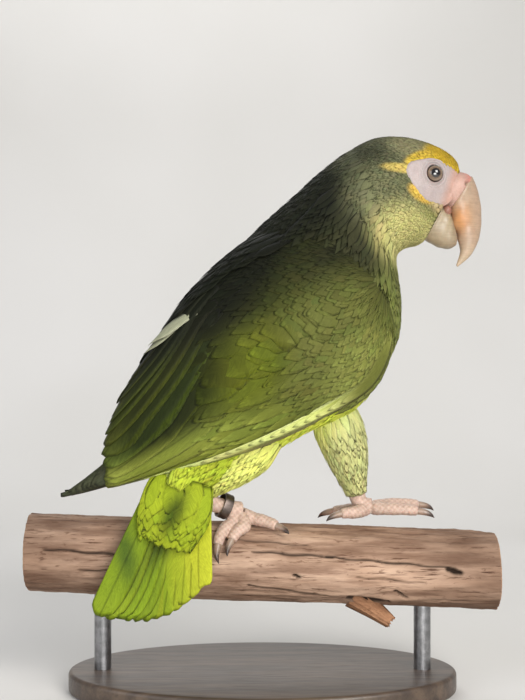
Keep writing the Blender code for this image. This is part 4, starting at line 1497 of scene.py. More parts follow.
@dataclass
class Wing:
    """One folded wing: coverts in rows over long secondaries, with the primaries below."""

    side: Side
    depth: float = 2.4 * MM  # of the skin below the outer surface
    seeds: tuple = (40, 60)  # of the right wing's and the left wing's unevenness
    skin: Surface = field(init=False)

    def __post_init__(self) -> None:
        """Samples the wing's outer surface, a little past both of its edges."""
        a_span, b_span = (0.0, len(WING) - 1.0), (-0.2, 1.12)
        a = np.linspace(*a_span, 181)[:, None]
        b = np.linspace(*b_span, 141)[None, :]
        angles = mixed(spline(WING_TOP_ANGLES, a), spline(WING_BOTTOM_ANGLES, a), b)
        points = section_points(WING, a, np.radians(angles), self.side.value)
        self.skin = Surface(points, a_span, b_span, -self.side.value).inset(self.depth)

    def arm_shell(self) -> Shell:
        """The fleshy part below the coverts.

        Returns:
            A closed plate's points and faces.
        """
        a, b = np.meshgrid(np.linspace(0.25, 4.4, 60), np.linspace(0.06, 0.87, 60), indexing="ij")
        outer, normal, *_ = self.skin.read(a, b)
        points, faces = slab(outer - normal * 0.4 * MM, outer - normal * 3.4 * MM)
        return points, faces if self.side is Side.RIGHT else turned_over(faces)

    def dress(self, soft: Material, stiff: Material) -> None:
        """Lays coverts, secondaries and primaries.

        Args:
            soft: the coverts' finish.
            stiff: the flight feathers'.
        """
        seed = self.seeds[self.side is Side.LEFT]

        def laid(flock: Flock, vane: Vane, paint: Painter, step: int) -> Coat:
            """Feathers on this wing, leaning the way of its side."""
            return lay(self.skin, flock, vane.leaning(-self.side.value), paint, seed + step)

        def add(coats: Sequence[Coat], group: str, finish: Material) -> None:
            """Adds coats as the piece of one of the wing's nodes."""
            node = f"wing_{self.side.word}_{group}"
            Coat.joined(coats).piece("plumage_" + node, finish, "wing_plumage", node)

        rows = (
            (GREATER_TRACT, GREATER_VANE),
            (MEDIAN_TRACT, GREATER_VANE),
            (LESSER_TRACT, LESSER_VANE),
        )
        coverts = [
            laid(tract.flock(self.skin, seed + 2 * k), vane, WING_PATTERN, 2 * k + 1)
            for k, (tract, vane) in enumerate(rows)
        ]
        add([*coverts, laid(EDGE_FAN.flock(), EDGE_VANE, EDGE_PATTERN, 7)], "coverts", soft)
        fans = ((SECONDARY_FAN, 8), (TERTIAL_FAN, 9))
        long = [laid(fan.flock(), SECONDARY_VANE, WING_PATTERN, step) for fan, step in fans]
        add(long, "secondaries", stiff)
        add([laid(PRIMARY_FAN.flock(), PRIMARY_VANE, PRIMARY_PATTERN, 10)], "primaries", stiff)


@dataclass
class Cape:
    """The back feathers that lie over the inner edges of both wings."""

    last: float = 6.5  # station of the wings' loft where the cape's surface ends
    depth: float = 1.6 * MM  # of that surface below the wings'

    def dress(self, finish: Material) -> None:
        """Lays the cape and the pale feathers at its edge.

        Args:
            finish: the feathers'.
        """
        span = (math.radians(-60), math.radians(60))
        a = np.linspace(0, self.last, 121)[:, None]
        b = np.linspace(*span, 121)[None, :]
        surface = Surface(section_points(WING, a, b), (0, self.last), span, -1.0).inset(self.depth)
        flock = CAPE_TRACT.flock(surface, 81)
        reach = 46 - 7.2 * (flock.root[:, 0] - 1.5)  # degrees: it narrows towards the rump
        flock = flock.kept(np.abs(np.degrees(flock.root[:, 1])) < reach)
        pale = Flock(
            np.array(((3.75, math.radians(-50)), (4.0, math.radians(-46)))),
            np.array(((5.0, math.radians(-26)), (5.2, math.radians(-24)))),
            np.array((7.5, 6.0)) * MM,
            np.array((0.2, 0.2)) * MM,
            np.array((4.6, 4.0)) * MM,
        )
        parts = ((flock, CAPE_PATTERN, 82), (pale, CHALK_PATTERN, 83))
        coats = [lay(surface, flock, CAPE_VANE, paint, seed) for flock, paint, seed in parts]
        Coat.joined(coats).piece("plumage_back", finish, "body_plumage")


@dataclass
class Tail:
    """The hanging fan of tail feathers and the soft coverts over its root."""

    roots: tuple = ((-25.5, 104.0), (-47.0, 108.0))  # (x, z) at the +X and at the -X edge
    tips: tuple = ((-26.0, 54.5), (-77.0, 39.0))
    bulge: float = 9.0
    front: float = -21.0
    feathers: int = 12
    width: float = 15.5
    cover_path: tuple = (
        (-35.5, -28.0, 103),
        (-38.5, -28.8, 93),
        (-41.5, -28.8, 83),
        (-44.5, -28.2, 72),
    )
    cover_radii: tuple = (14.5, 16.5, 16.0, 12.5)
    cover_flatness: tuple = (0.22, 0.06)  # thickness over width, at the root and at the end

    def fan_surface(self) -> Surface:
        """The underside of the fan: from root to tip, and from the +X edge to the -X edge.

        A feather's line runs straight from its root to its tip, and the tips hang below
        the line between the outer ones by a sine.

        Returns:
            The surface, facing the bird's right.
        """
        down = np.linspace(0, 1, 61)[:, None, None]
        across = np.linspace(-0.08, 1.08, 61)[None, :, None]
        edges = (np.array(self.roots), np.array(self.tips))
        root, tip = (mixed(first, last, across) for first, last in edges)
        tip = tip - np.array((0, self.bulge)) * np.sin(math.pi * np.clip(across, 0, 1) ** 0.8)
        flat = mixed(root, tip, down)
        y = self.front - 7 * down - 5 * (2 * across - 1) ** 2 * down
        points = np.concatenate([flat[..., :1], y, flat[..., 1:]], axis=-1) * MM
        normal = np.cross(np.gradient(points, axis=0), np.gradient(points, axis=1))
        return Surface(points, (0, 1), (-0.08, 1.08), -float(np.sign(normal[..., 1].mean())))

    def dress(self, soft: Material, stiff: Material) -> None:
        """Lays the tail feathers, the outer ones in front, then the coverts.

        Args:
            soft: the coverts' finish.
            stiff: the tail feathers'.
        """
        place = (np.arange(self.feathers) + 0.5) / self.feathers
        place = place[np.argsort(np.abs(place - 0.5) * 2)]
        outer = np.abs(place - 0.5) * 2
        root = np.stack([np.zeros(self.feathers), 0.5 + (place - 0.5) * 0.8], axis=1)
        tip = np.stack([0.985 - 0.03 * outer, place], axis=1)
        height = (-1.2 + 1.6 * outer) * MM
        flock = Flock(root, tip, np.full(self.feathers, self.width * MM), height - 0.3 * MM, height)
        coat = lay(self.fan_surface(), flock, TAIL_VANE, TAIL_PATTERN, 91)
        coat.piece("plumage_tail", stiff, "tail_plumage", "tail")
        flat = np.ones((61, 1, 3))
        flat[..., 1] = np.linspace(*self.cover_flatness, 61)[:, None]
        rings = swelled(limb_rings(self.cover_path, self.cover_radii, 61, 80), flat)
        pad = Surface.limb(rings, 3).inset(0.6 * MM)
        coverts = lay(pad, VENT_TRACT.flock(pad, 92), VENT_VANE, VENT_PATTERN, 93)
        coverts.piece("plumage_undertail", soft, "tail_plumage", "undertail_coverts")


@dataclass
class Leg:
    """A feathered thigh, a bare shank, four toes and their claws."""

    side: Side
    thigh: tuple  # the path, then its radii, in millimetres
    shank: tuple
    toes: dict  # names to paths in millimetres
    seed: int
    coat: float = 2.6  # millimetres
    voxel: float = 0.36 * MM
    toe_radii: tuple = (3.0, 3.0, 2.8, 2.5, 2.15)
    claw_radii: tuple = (1.75, 1.5, 1.0, 0.12)
    claw_rings: int = 26
    claw_sides: int = 18

    def thigh_rings(self, rings: int, sides: int) -> Array:
        """The thigh moved in by the coat's depth."""
        path, radii = self.thigh
        return limb_rings(path, np.maximum(np.array(radii) - self.coat, 1.5), rings, sides)

    def thigh_shell(self) -> Shell:
        """The thigh's skin as a closed loft."""
        return tube(self.thigh_rings(40, 48))

    def dress(self, finish: Material) -> None:
        """Lays the thigh's loose feathers.

        Args:
            finish: the feathers'.
        """
        surface = Surface.limb(self.thigh_rings(61, 72), 3)
        flock = THIGH_TRACT.flock(surface, self.seed)
        coat = lay(surface, flock, THIGH_VANE, THIGH_PATTERN, self.seed + 1)
        node = f"thigh_{self.side.word}"
        coat.piece("plumage_" + node, finish, "thigh_plumage", node)

    def build_foot(self, finish: Material, horn: Material) -> None:
        """Joins shank and toes in one skin, and puts the claws on.

        A toe's radius follows its path, with a low ripple for the scutes and the pads, and
        closes over its end by a quarter circle.

        Args:
            finish: the skin's.
            horn: the claws'.
        """
        path, radii = self.shank
        shells, claws = [tube(limb_rings(path, radii, 30, 28))], []
        t = np.linspace(0, 1, 64)[:, None, None]
        ripple = 1 + 0.05 * np.abs(np.sin(9 * math.pi * t)) + 0.05 * np.sin(3 * math.pi * t) ** 2
        close = np.sqrt(np.clip(1 - ((t - 0.93) / 0.07).clip(0) ** 2, 0.01, 1))
        for route in self.toes.values():
            route = np.array(route, float)
            heel = mixed(route[0], np.array(path[-1]), 0.75) - (0, 0, 0.6)
            route = np.concatenate([[heel], route])
            shells.append(tube(swelled(limb_rings(route, self.toe_radii, 64, 24), ripple * close)))
            claws.append(self.claw(route))
        word = self.side.word
        mesh = voxel_union(f"foot_{word}", shells, self.voxel)
        x, y, z = mesh_points(mesh).T
        shade = 0.5 + 0.5 * np.sin(x * 2300) * np.sin(z * 1900 + y * 1500)
        colour_points(mesh, "tint", mixed(srgb(180, 150, 134), srgb(204, 178, 162), shade[:, None]))
        names = [f"toe_{word}_{toe}" for toe in self.toes] + [f"shank_{word}"]
        add_piece(f"foot_{word}", mesh, finish, "foot_skin", *names)
        down = np.repeat(np.linspace(0, 1, self.claw_rings), self.claw_sides)
        down = np.tile([*down, 0.0, 1.0], len(self.toes))
        tint = mixed(srgb(150, 128, 112), srgb(52, 44, 40), smooth_step(down, 0.15, 0.75)[:, None])
        names = [f"claw_{word}_{toe}" for toe in self.toes]
        add_shape(f"claws_{word}", heaped(claws), tint, horn, "claw_horn", *names)

    def claw(self, route: Array) -> Shell:
        """A curved cone from just inside the toe's end, bending down as the toe does.

        Args:
            route: the toe's path in millimetres.

        Returns:
            The cone's points and faces.
        """
        ahead = unit(route[-1] - route[-2])
        bend = 3 * (ahead - unit(route[-2] - route[-3]))
        down = np.array((0.0, 0.0, -0.7)) if self.side is Side.LEFT else bend
        start = route[-1] - ahead * 0.9
        steps = ((0, 0), (3.6, 0.3), (6.3, 1.4), (8.2, 3.3))  # millimetres ahead and along the bend
        path = [start + ahead * far + down * low for far, low in steps]
        return tube(limb_rings(path, self.claw_radii, self.claw_rings, self.claw_sides))


@dataclass
class LegRing:
    """The plain closed metal band round the right shank, in millimetres."""

    centre: tuple = (-17.8, -9.7, 88.5)
    axis: tuple = (0.86, 0.30, -0.40)
    radius: float = 5.2
    wall: float = 0.8
    width: float = 4.4
    edge: float = 0.22

    def build(self, finish: Material) -> None:
        """Turns an oblong with rounded corners round the shank's direction.

        Args:
            finish: the metal's.
        """
        half, low, high, r = self.width / 2, self.radius, self.radius + self.wall, self.edge
        inner, outer, side = low + r, high - r, half - r
        corners = ((inner, side), (outer, side), (outer, -side), (inner, -side))
        outline = []
        for quarter, corner in enumerate(corners):
            bearing = math.pi - np.linspace(0, math.pi / 2, 5) - quarter * math.pi / 2
            outline.append(corner + r * np.stack([np.cos(bearing), np.sin(bearing)], axis=1))
        outline = np.concatenate(outline)
        axis = unit(np.array(self.axis))
        first, second = across_axis(axis)
        around = turns(96)[:, None, None]
        spoke = np.cos(around) * first + np.sin(around) * second
        rings = spoke * outline[None, :, :1] + axis * outline[None, :, 1:] + np.array(self.centre)
        quads = grid_quads(len(rings) + 1, len(outline), closed=True) % (len(rings) * len(outline))
        shell = (rings.reshape(-1, 3) * MM, turned_over([quads]))
        add_shape("leg_band", shell, None, finish, "ring_metal", "leg_ring")


@dataclass
class Eye:
    """An eyeball with its iris and pupil, the lids round it and the bare ring of skin."""

    side: Side
    radius: float = 4.6  # millimetres, as the next two
    opening: float = 3.45
    cornea: float = 0.22  # height of its bulge
    pupil: float = 0.47  # radians from the gaze
    iris: float = 0.86

    def build(self, glass: Material, skin: Material) -> None:
        """Makes the ball and the ring.

        The ball is a sphere with a low bulge for the cornea, about an axis along the gaze.

        Args:
            glass: the ball's finish.
            skin: the ring's.
        """
        word = self.side.word
        centre = np.mean(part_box(f"eye_{self.side.word}"), axis=0)
        gaze = unit(np.array((0.10, self.side.value, 0.02)))
        first = unit(np.cross(gaze, (0.0, 0.0, 1.0)))
        second = np.cross(gaze, first)
        polar = np.linspace(0.02, math.pi - 0.02, 60)[:, None, None]
        turn = turns(64)[None, :, None]
        spoke = np.cos(turn) * first + np.sin(turn) * second
        radius = (self.radius + self.cornea * bell(polar, 0, 0.62)) * MM
        rings = centre + radius * (np.cos(polar) * gaze + np.sin(polar) * spoke)
        angle = np.array([*np.broadcast_to(polar[..., 0], (60, 64)).ravel(), 0.0, math.pi])
        stops = (
            (0.0, srgb(8, 6, 6)),
            (self.pupil - 0.03, srgb(8, 6, 6)),
            (self.pupil + 0.03, srgb(84, 66, 50)),
            (0.68, srgb(118, 98, 78)),
            (self.iris - 0.05, srgb(132, 112, 92)),
            # Past the iris the ball is painted dark, as painted shade under the lids.
            (self.iris + 0.03, srgb(52, 42, 36)),
            (math.pi, srgb(44, 36, 32)),
        )
        places, shades = zip(*stops)
        tint = [np.interp(angle, places, channel) for channel in np.transpose(shades)]
        tint = np.stack(tint, axis=1)
        add_shape(f"eyeball_{word}", tube(rings, 1.0), tint, glass, "eye_glass", f"eye_{word}")
        self.build_ring(skin)

    def build_ring(self, finish: Material) -> None:
        """The lids and the bare skin, with painted shade at the lids' edge and in the crease
        between the two folds.

        Over a bearing and a share from the opening to the ring's outline, a place seen from
        the side gets the head's own Y. A raised fold for the lids and ever lower ripples
        for the wrinkles stand on it, and the inner edge dips to the ball.

        Args:
            finish: the skin's.
        """
        rows, columns = 44, 132
        bearing = turns(columns)[None, :]
        share = np.linspace(0, 1, rows)[:, None] ** 1.35
        inner = self.opening * MM * (1 - 0.05 * np.cos(2 * bearing))
        reach = mixed(inner, BareRing.reach(bearing) + 0.9 * MM, share)
        x = BareRing.CENTRE[0] + reach * np.cos(bearing)
        z = BareRing.CENTRE[1] + reach * np.sin(bearing)
        y = head_side(x, z, self.side.value)
        past = (reach - inner) / MM
        fold = 0.85 * bell(past, 0.95, 0.62) + 0.28 * bell(past, 2.5, 0.5)
        ripple = 0.10 * np.sin(past * 5.2 + 0.6 * np.sin(5 * bearing))
        ripple = ripple * np.exp(-past / 6) * smooth_step(past, 1, 2)
        dip = 1.35 * bell(past, 0, 0.42) + 0.9 * smooth_step(share, 0.86, 1.0)
        height = fold + ripple - 0.35 - dip
        front = np.stack([x, y + self.side.value * height * MM, z], axis=-1)
        back = front - (0.0, self.side.value * 0.7 * MM, 0.0)
        quads = grid_quads(2 * rows, columns, closed=True)
        closing = grid_quads(2, columns, closed=True)
        last = (2 * rows - 1) * columns
        closing = np.where(closing < columns, closing + last, closing - columns)
        faces = [quads, closing]
        if self.side is Side.LEFT:
            faces = turned_over(faces)
        ahead = smooth_step(x - 0.35 * (z - BareRing.CENTRE[1]), 86.5 * MM, 92 * MM)[..., None]
        # Painted shade: darker at the lids' edge, where it dips to the ball, and in the crease
        # between the two folds.
        lid_shade = bell(past, 0.2, 0.45)[..., None]
        crease_shade = 1 - 0.10 * bell(past, 1.9, 0.5)[..., None]
        tint = mixed(srgb(164, 151, 148), srgb(180, 144, 130), ahead) * crease_shade
        tint = mixed(tint, srgb(104, 86, 78), lid_shade)
        shell = (np.concatenate([front, back[::-1]]).reshape(-1, 3), faces)
        tint = np.concatenate([tint, tint[::-1]]).reshape(-1, 3)
        add_shape(f"eye_ring_{self.side.word}", shell, tint, finish, "cere_skin")


@dataclass
class Bill:
    """The cere with its nostrils, the hooked upper bill and the lower bill, in millimetres."""

    sides: int = 96
    nostril: tuple = (97.6, 240.6)  # x and z
    nostril_radius: float = 1.15
    mouth: tuple = (88.2, 6.0, 228.2)
    mouth_size: tuple = (2.8, 6.3, 3.2)

    def loft(self, sections: Sequence[Section], rings: int) -> Array:
        """Rings of a loft."""
        at = np.linspace(0, len(sections) - 1, rings)[:, None]
        return section_points(sections, at, turns(self.sides)[None, :])

    def piece(self, name: str, rings: Array, tint: Array, finish: Material, slot: str) -> None:
        """Closes the rings and adds the piece in place of its node.

        Args:
            name: the node's.
            rings: points as (ring, place round it, xyz).
            tint: their colours.
            finish: the piece's.
            slot: the name of the record's material slot, passed on to add_shape.
        """
        tint = np.concatenate([tint.reshape(-1, 3), tint[:1].mean(axis=1), tint[-1:].mean(axis=1)])
        add_shape(name + "_horn", tube(rings, 1.0), tint, finish, slot, name)

    def build(self, horn: Material, skin: Material) -> None:
        """Makes all the pieces.

        Args:
            horn: the bill's finish.
            skin: the cere's and the mouth's.
        """
        self.build_cere(skin)
        self.build_upper(horn)
        self.build_lower(horn)
        self.build_corner(skin)

    def build_cere(self, skin: Material) -> None:
        """The cere, dented by a smooth bell where each nostril opens, the dent painted dark as
        shade.

        Args:
            skin: its finish.
        """
        rings = self.loft(CERE, 46)
        out = unit(rings - rings.mean(axis=1, keepdims=True))
        x, _, z = np.moveaxis(rings, -1, 0) / MM
        far = np.hypot(x - self.nostril[0], z - self.nostril[1])[..., None]
        pit = bell(far, 0, self.nostril_radius)
        edge = 1 - 0.05 * smooth_step(np.linspace(0, 1, 46), 0.94, 1.0)[:, None, None]
        shaped = swelled(rings, edge) + out * (0.45 * bell(far, 2.0, 0.9) - 1.7 * pit) * MM
        flush = smooth_step(rings[..., :1] / MM, 95, 100.5)
        # Painted shade: the nostrils' dents are darkened to a fifth at their middles.
        tint = mixed(srgb(180, 144, 130), srgb(190, 120, 106), flush) * (1 - 0.8 * pit)
        self.piece("cere", shaped, tint, skin, "cere_skin")

    def build_upper(self, horn: Material) -> None:
        """The upper bill: a keel along its top, a notch and a tooth, and low growth ridges.

        Args:
            horn: its finish.
        """
        rings = self.loft(UPPER_BILL, 110)
        t = np.linspace(0, 1, 110)[:, None]
        turn = turns(self.sides)[None, :]
        keel = 0.05 * bell(np.minimum(turn, TURN - turn), 0, 0.35) * (1 - t)
        tooth = 0.16 * bell(t, 0.40, 0.07) - 0.12 * bell(t, 0.53, 0.06)
        growth = 0.008 * np.sin(46 * t + 1.5 * np.cos(turn))
        shaped = swelled(rings, (1 + keel + bell(turn, math.pi, 0.9) * tooth + growth)[..., None])
        x, z = rings[..., :1] / MM, rings[..., 2:] / MM
        flush = bell(x, 94.6, 4.6) * bell(z, 224.0, 7.0)
        tint = mixed(srgb(158, 136, 114), srgb(180, 124, 70), flush)
        ridge = smooth_step(np.cos(turn), 0.2, 0.95)[..., None] * (1 - t[..., None])
        tint = mixed(tint, srgb(180, 146, 122), 0.3 * ridge)
        tint = mixed(tint, srgb(178, 156, 130), smooth_step(t, 0.62, 0.95)[..., None])
        self.piece("upper_bill", shaped, tint, horn, "bill_horn")

    def build_lower(self, horn: Material) -> None:
        """The lower bill, with low growth ridges.

        Args:
            horn: its finish.
        """
        t = np.linspace(0, 1, 60)[:, None, None]
        growth = 0.01 * np.sin(30 * t + np.cos(turns(self.sides))[None, :, None])
        shaped = swelled(self.loft(LOWER_BILL, 60), 1 + growth)
        tint = mixed(srgb(154, 138, 112), srgb(140, 124, 102), smooth_step(t, 0.45, 1))
        self.piece("lower_bill", shaped, np.broadcast_to(tint, shaped.shape), horn, "bill_horn")

    def build_corner(self, skin: Material) -> None:
        """The fleshy corner of the mouth, an ellipsoid between the two halves of the bill.

        Args:
            skin: its finish.
        """
        polar = np.linspace(0.06, math.pi - 0.06, 24)[:, None]
        turn = turns(36)[None, :]
        out = np.sin(polar)
        ball = np.stack([out * np.cos(turn), np.cos(polar) + 0 * turn, out * np.sin(turn)], axis=-1)
        rings = (np.array(self.mouth) + ball * self.mouth_size) * MM
        add_shape("mouth_corner", tube(rings), srgb(150, 108, 92), skin, "cere_skin")


@dataclass(frozen=True)
class Check:
    """A drying crack or a hole: a groove between two places on the branch."""

    start: tuple  # x in millimetres, degrees from the top towards the bird's right
    end: tuple
    width: float
    depth: float


@dataclass
class Branch:
    """The cut length of weathered branch, its drying cracks, holes and broken stub."""

    height: float = 60.8
    slope: float = -0.0385
    radius: float = 18.8
    half_length: float = 110.0
    rings: int = 430
    sides: int = 190
    stub: tuple = ((43, -4, 46), (52, -4.6, 39.6), (60, -5, 33.5))
    stub_radii: tuple = (6.0, 4.4, 3.0)
    checks: tuple = (
        Check((-4, 66), (32, 69), 0.55, 1.5),
        Check((30, 69), (86, 79), 0.5, 1.7),
        Check((86, 82), (91, 85), 1.3, 3.0),
        Check((62, 121), (66, 131), 0.8, 2.4),
        Check((15, 100), (16.5, 102), 0.9, 2.2),
        Check((-6, 121), (30, 135), 0.6, 1.4),
        Check((-100, 74), (-52, 80), 0.6, 1.5),
        Check((-84, 104), (-38, 99), 0.5, 1.2),
        Check((-20, 47), (20, 52), 0.45, 1.0),
        Check((44, 98), (74, 104), 0.45, 0.9),
        Check((40, 141), (58, 146), 2.2, 2.6),
        Check((-90, 250), (10, 262), 0.6, 1.5),
        Check((20, 300), (95, 292), 0.6, 1.4),
        Check((-60, 200), (60, 214), 0.7, 1.6),
    )

    def wander(self, x: Array, turn: Array, seed: int, long: float, columns: int) -> Array:
        """Smooth noise of -1 to 1 that is long along the branch and closes round it.

        Args:
            x: places along the branch, in millimetres.
            turn: angles from its top.
            seed: of the random table.
            long: length of the table's cells, in millimetres.
            columns: how many cells go round.

        Returns:
            The noise at each place.
        """
        rng = np.random.default_rng(seed)
        cells = int(2 * self.half_length / long) + 3
        table = rng.uniform(-1, 1, (cells, columns))
        u = np.clip((x + self.half_length) / long, 0, cells - 2.001)
        v = np.mod(turn / TURN, 1) * columns
        i, j = u.astype(int), v.astype(int) % columns
        p, q = smooth_step(u - i, 0, 1), smooth_step(v - v.astype(int), 0, 1)
        after = (j + 1) % columns
        near, far = (mixed(table[row, j], table[row, after], q) for row in (i, i + 1))
        return mixed(near, far, p)

    def relief(self, x: Array, turn: Array) -> tuple[Array, Array]:
        """Ridges from four sizes of long noise, and cracks as bells across wandering lines.

        Args:
            x: places along the branch, in millimetres.
            turn: angles from its top.

        Returns:
            Height of the surface in millimetres, and how deep in a crack each place is.
        """
        sizes = ((0.42, 1, 34, 18), (0.34, 2, 18, 44), (0.32, 3, 10, 84), (0.12, 5, 2.4, 95))
        ridges = sum(share * self.wander(x, turn, *size) for share, *size in sizes)
        deep = np.zeros(ridges.shape)
        for check in self.checks:
            (x0, d0), (x1, d1) = check.start, check.end
            span = np.clip((x - x0) / (x1 - x0), 0, 1)
            line = np.radians(mixed(d0, d1, span)) + 0.018 * np.sin(x * 0.35 + d0)
            aside = (np.mod(turn - line + math.pi, TURN) - math.pi) * self.radius
            beyond = np.maximum(x - x1, 0) + np.maximum(x0 - x, 0)
            thin = check.width * (0.55 + 0.45 * np.sin(math.pi * np.clip(span, 0.08, 0.92)))
            deep = np.maximum(deep, bell(aside, 0, thin) * bell(beyond, 0, 1.2) * check.depth)
        return ridges - deep, np.clip(deep / 1.2, 0, 1)

    def ring_points(self, x: Array, radius: Array) -> Array:
        """Points round the branch's axis.

        Args:
            x: places along the branch, in millimetres.
            radius: of the points of each ring, in millimetres.

        Returns:
            The points in metres, as (ring, place round it, xyz).
        """
        turn = turns(self.sides)[None, :]
        y = -radius * np.sin(turn)
        z = self.height + self.slope * x + radius * np.cos(turn)
        return np.stack([np.broadcast_to(x, y.shape), y, z], axis=-1) * MM

    def stain(self, x: Array, turn: Array, relief: Array, deep: Array) -> Array:
        """Pale ridges and dark cracks, painted as light and shade on the relief, and painted shade
        towards both ends and below.

        Args:
            x: places along the branch, in millimetres.
            turn: angles from its top.
            relief: height of the surface there.
            deep: how deep in a crack they are.

        Returns:
            The colours.
        """
        light = 0.5 + 0.25 * self.wander(x, turn, 7, 46, 12)
        light = light + 0.25 * self.wander(x, turn, 8, 12, 40)
        # A painted highlight on the ridges where the relief stands high, and painted shade where it
        # sinks.
        light = np.clip(light + 0.25 * relief, 0, 1)[..., None]
        # Painted shade towards both ends and on the underside.
        end_shade = ((1 - smooth_step(x, -112, -48)) * 0.5 + smooth_step(x, 55, 105) * 0.55)[..., None]
        low = smooth_step(-np.cos(turn), 0.3, 1.0)[..., None] * 0.4
        tint = mixed(srgb(205, 190, 178), srgb(255, 250, 244), light)
        tint = mixed(mixed(tint, srgb(128, 112, 102), end_shade), srgb(150, 138, 126), low)
        # Painted shade in the cracks.
        return tint * (1 - 0.86 * deep[..., None])

    def stub_shell(self) -> Shell:
        """The stub, uneven all round and torn at its end.

        Returns:
            Its points and faces.
        """
        number = np.arange(40)
        uneven = 1 + 0.10 * np.sin(number * 2.3) + 0.06 * np.sin(number * 5.1)
        rings = swelled(limb_rings(self.stub, self.stub_radii, 40, 40), uneven[None, :, None])
        ahead = unit(np.array(self.stub[2]) - self.stub[1])
        rings[-1] += ahead * np.sin(number * 1.9)[:, None] * 1.2 * MM
        return tube(rings)

    def build(self, finish: Material) -> None:
        """Makes the branch with its sawn ends, and the stub below it.

        Args:
            finish: the wood's.
        """
        x = np.linspace(-self.half_length, self.half_length, self.rings)[:, None]
        turn = turns(self.sides)[None, :]
        along = x / self.half_length
        plain = 1 - 0.015 * along - 0.02 * (1 - np.cos(2 * turn + 1.3 * along))
        plain = plain - 0.012 * (1 + np.sin(3 * turn - 4 * along + 1.0))
        relief, deep = self.relief(x, turn)
        reach = self.radius * plain + relief - 0.25
        sawn = np.array((0.985, 0.93, 0.78, 0.58, 0.36, 0.14))[:, None]  # shares of the last ring
        step = np.array((0.5, 0.75, 0.8, 0.8, 0.8, 0.8))[:, None]  # millimetres past it
        first = self.ring_points(x[:1] - step[::-1], reach[:1] * sawn[::-1])
        last = self.ring_points(x[-1:] + step, reach[-1:] * sawn)
        wood = tube(np.concatenate([first, self.ring_points(x, reach), last]))
        stub = self.stub_shell()
        end = np.tile(srgb(232, 214, 190), (len(step) * self.sides, 1))
        torn = np.tile(srgb(206, 176, 150), (len(stub[0]), 1))
        side = self.stain(x, turn, relief, deep).reshape(-1, 3)
        tint = np.concatenate([end, side, end, end[:2], torn])
        add_shape("branch", heaped([wood, stub]), tint, finish, "branch_wood", "perch")


# ---------------------------------------------------------------- the studio


@dataclass(frozen=True)
class Lamp:
    """A square soft light that faces the model."""

    name: str
    place: tuple
    size: float
    watts: float
    colour: tuple

    def hang(self, target: Array) -> None:
        """Hangs the light, its -Z towards the target.

        Args:
            target: a place in metres.
        """
        lamp = bpy.data.lights.new(self.name, "AREA")
        lamp.energy, lamp.size, lamp.color = self.watts, self.size, self.colour
        hung = bpy.data.objects.new(self.name, lamp)
        bpy.context.scene.collection.objects.link(hung)
        ahead = unit(target - self.place)
        hung.location = self.place
        hung.rotation_euler = (math.acos(-ahead[2]), 0.0, math.atan2(-ahead[0], ahead[1]))


@dataclass
class Studio:
    """A pale floor that curves up behind, four soft lights and the camera, in metres."""

    width: float = 3.0
    ahead: float = 1.6
    behind: float = 0.9
    height: float = 1.4
    corner: float = 0.45
    target: tuple = (0.0, 0.0, 0.15)
    lamps: tuple = (
        Lamp("key_light", (0.60, -0.95, 0.80), 0.6, 12.0, (1.0, 0.975, 0.94)),
        Lamp("fill_light", (-0.95, -0.7, 0.50), 0.9, 4.5, (0.95, 0.97, 1.0)),
        Lamp("low_light", (0.15, -0.85, 0.06), 0.5, 8.0, (1.0, 0.99, 0.97)),
        Lamp("back_light", (-0.1, 0.75, 0.85), 0.7, 5.0, (1.0, 1.0, 1.0)),
    )

    def build(self) -> None:
        """Lays the floor, hangs the lights and places the camera."""
        self.floor()
        for lamp in self.lamps:
            lamp.hang(np.array(self.target))
        world = bpy.data.worlds.new("studio_air")
        world.use_nodes = True
        sky = world.node_tree.nodes["Background"].inputs
        sky["Color"].default_value = (0.92, 0.95, 1.0, 1.0)
        sky["Strength"].default_value = 0.30
        bpy.context.scene.world = world
        # This keeps the greens as bright as they are given.
        bpy.context.scene.view_settings.view_transform = "Standard"
        self.camera()

    def floor(self) -> None:
        """The floor and the wall behind, joined by a quarter circle."""
        turn = np.linspace(0, math.pi / 2, 24)
        bend = self.behind - self.corner * (1 - np.sin(turn))
        y = np.concatenate([[-self.ahead], bend, [self.behind]])
        z = np.concatenate([[0.0], self.corner * (1 - np.cos(turn)), [self.height]])
        x = np.linspace(-self.width / 2, self.width / 2, 9)[:, None]
        points = np.stack(np.broadcast_arrays(x, y[None, :], z[None, :]), axis=-1)
        mesh = build_mesh("studio_floor", points.reshape(-1, 3), [grid_quads(9, len(y))])
        floor = bpy.data.objects.new("studio_floor", mesh)
        bpy.context.scene.collection.objects.link(floor)
        mesh.materials.append(PaperFinish().material())

    def camera(self) -> None:
        """A level camera on the bird's right, 0.55 m away, that sees 333 mm of height there."""
        lens = bpy.data.cameras.new("camera")
        lens.lens = 59.4
        eye = bpy.data.objects.new("camera", lens)
        bpy.context.scene.collection.objects.link(eye)
        eye.location = (0.0, -0.55, 0.1614)
        eye.rotation_euler = (math.pi / 2, 0.0, 0.0)
        bpy.context.scene.camera = eye


# ---------------------------------------------------------------- the whole


def right_toes() -> dict:
    """The gripping foot's toes: two over the near face, one ahead and one back.

    Returns:
        Each toe's path in millimetres by its name.
    """
    routes = {  # x, and degrees from the branch's top
        "outer": ((-14.6, 29), (-17.4, 39), (-19.6, 51), (-20.6, 63)),
        "inner": ((-8.4, 33), (-11.0, 40), (-13.0, 48), (-14.4, 56)),
        "ahead": ((-4.8, 15), (-0.4, 20), (3.6, 25), (7.0, 31)),
        "back": ((-9.6, -1), (-9.2, -16), (-9.4, -31), (-10, -46)),
    }
    reach = Branch.radius + 3.1
    toes = {}
    for name, route in routes.items():
        x, degrees = np.array(route, float).T
        turn = np.radians(degrees)
        z = Branch.height + Branch.slope * x + reach * np.cos(turn)
        toes[name] = np.stack([x, -reach * np.sin(turn), z], axis=1)
    return toes


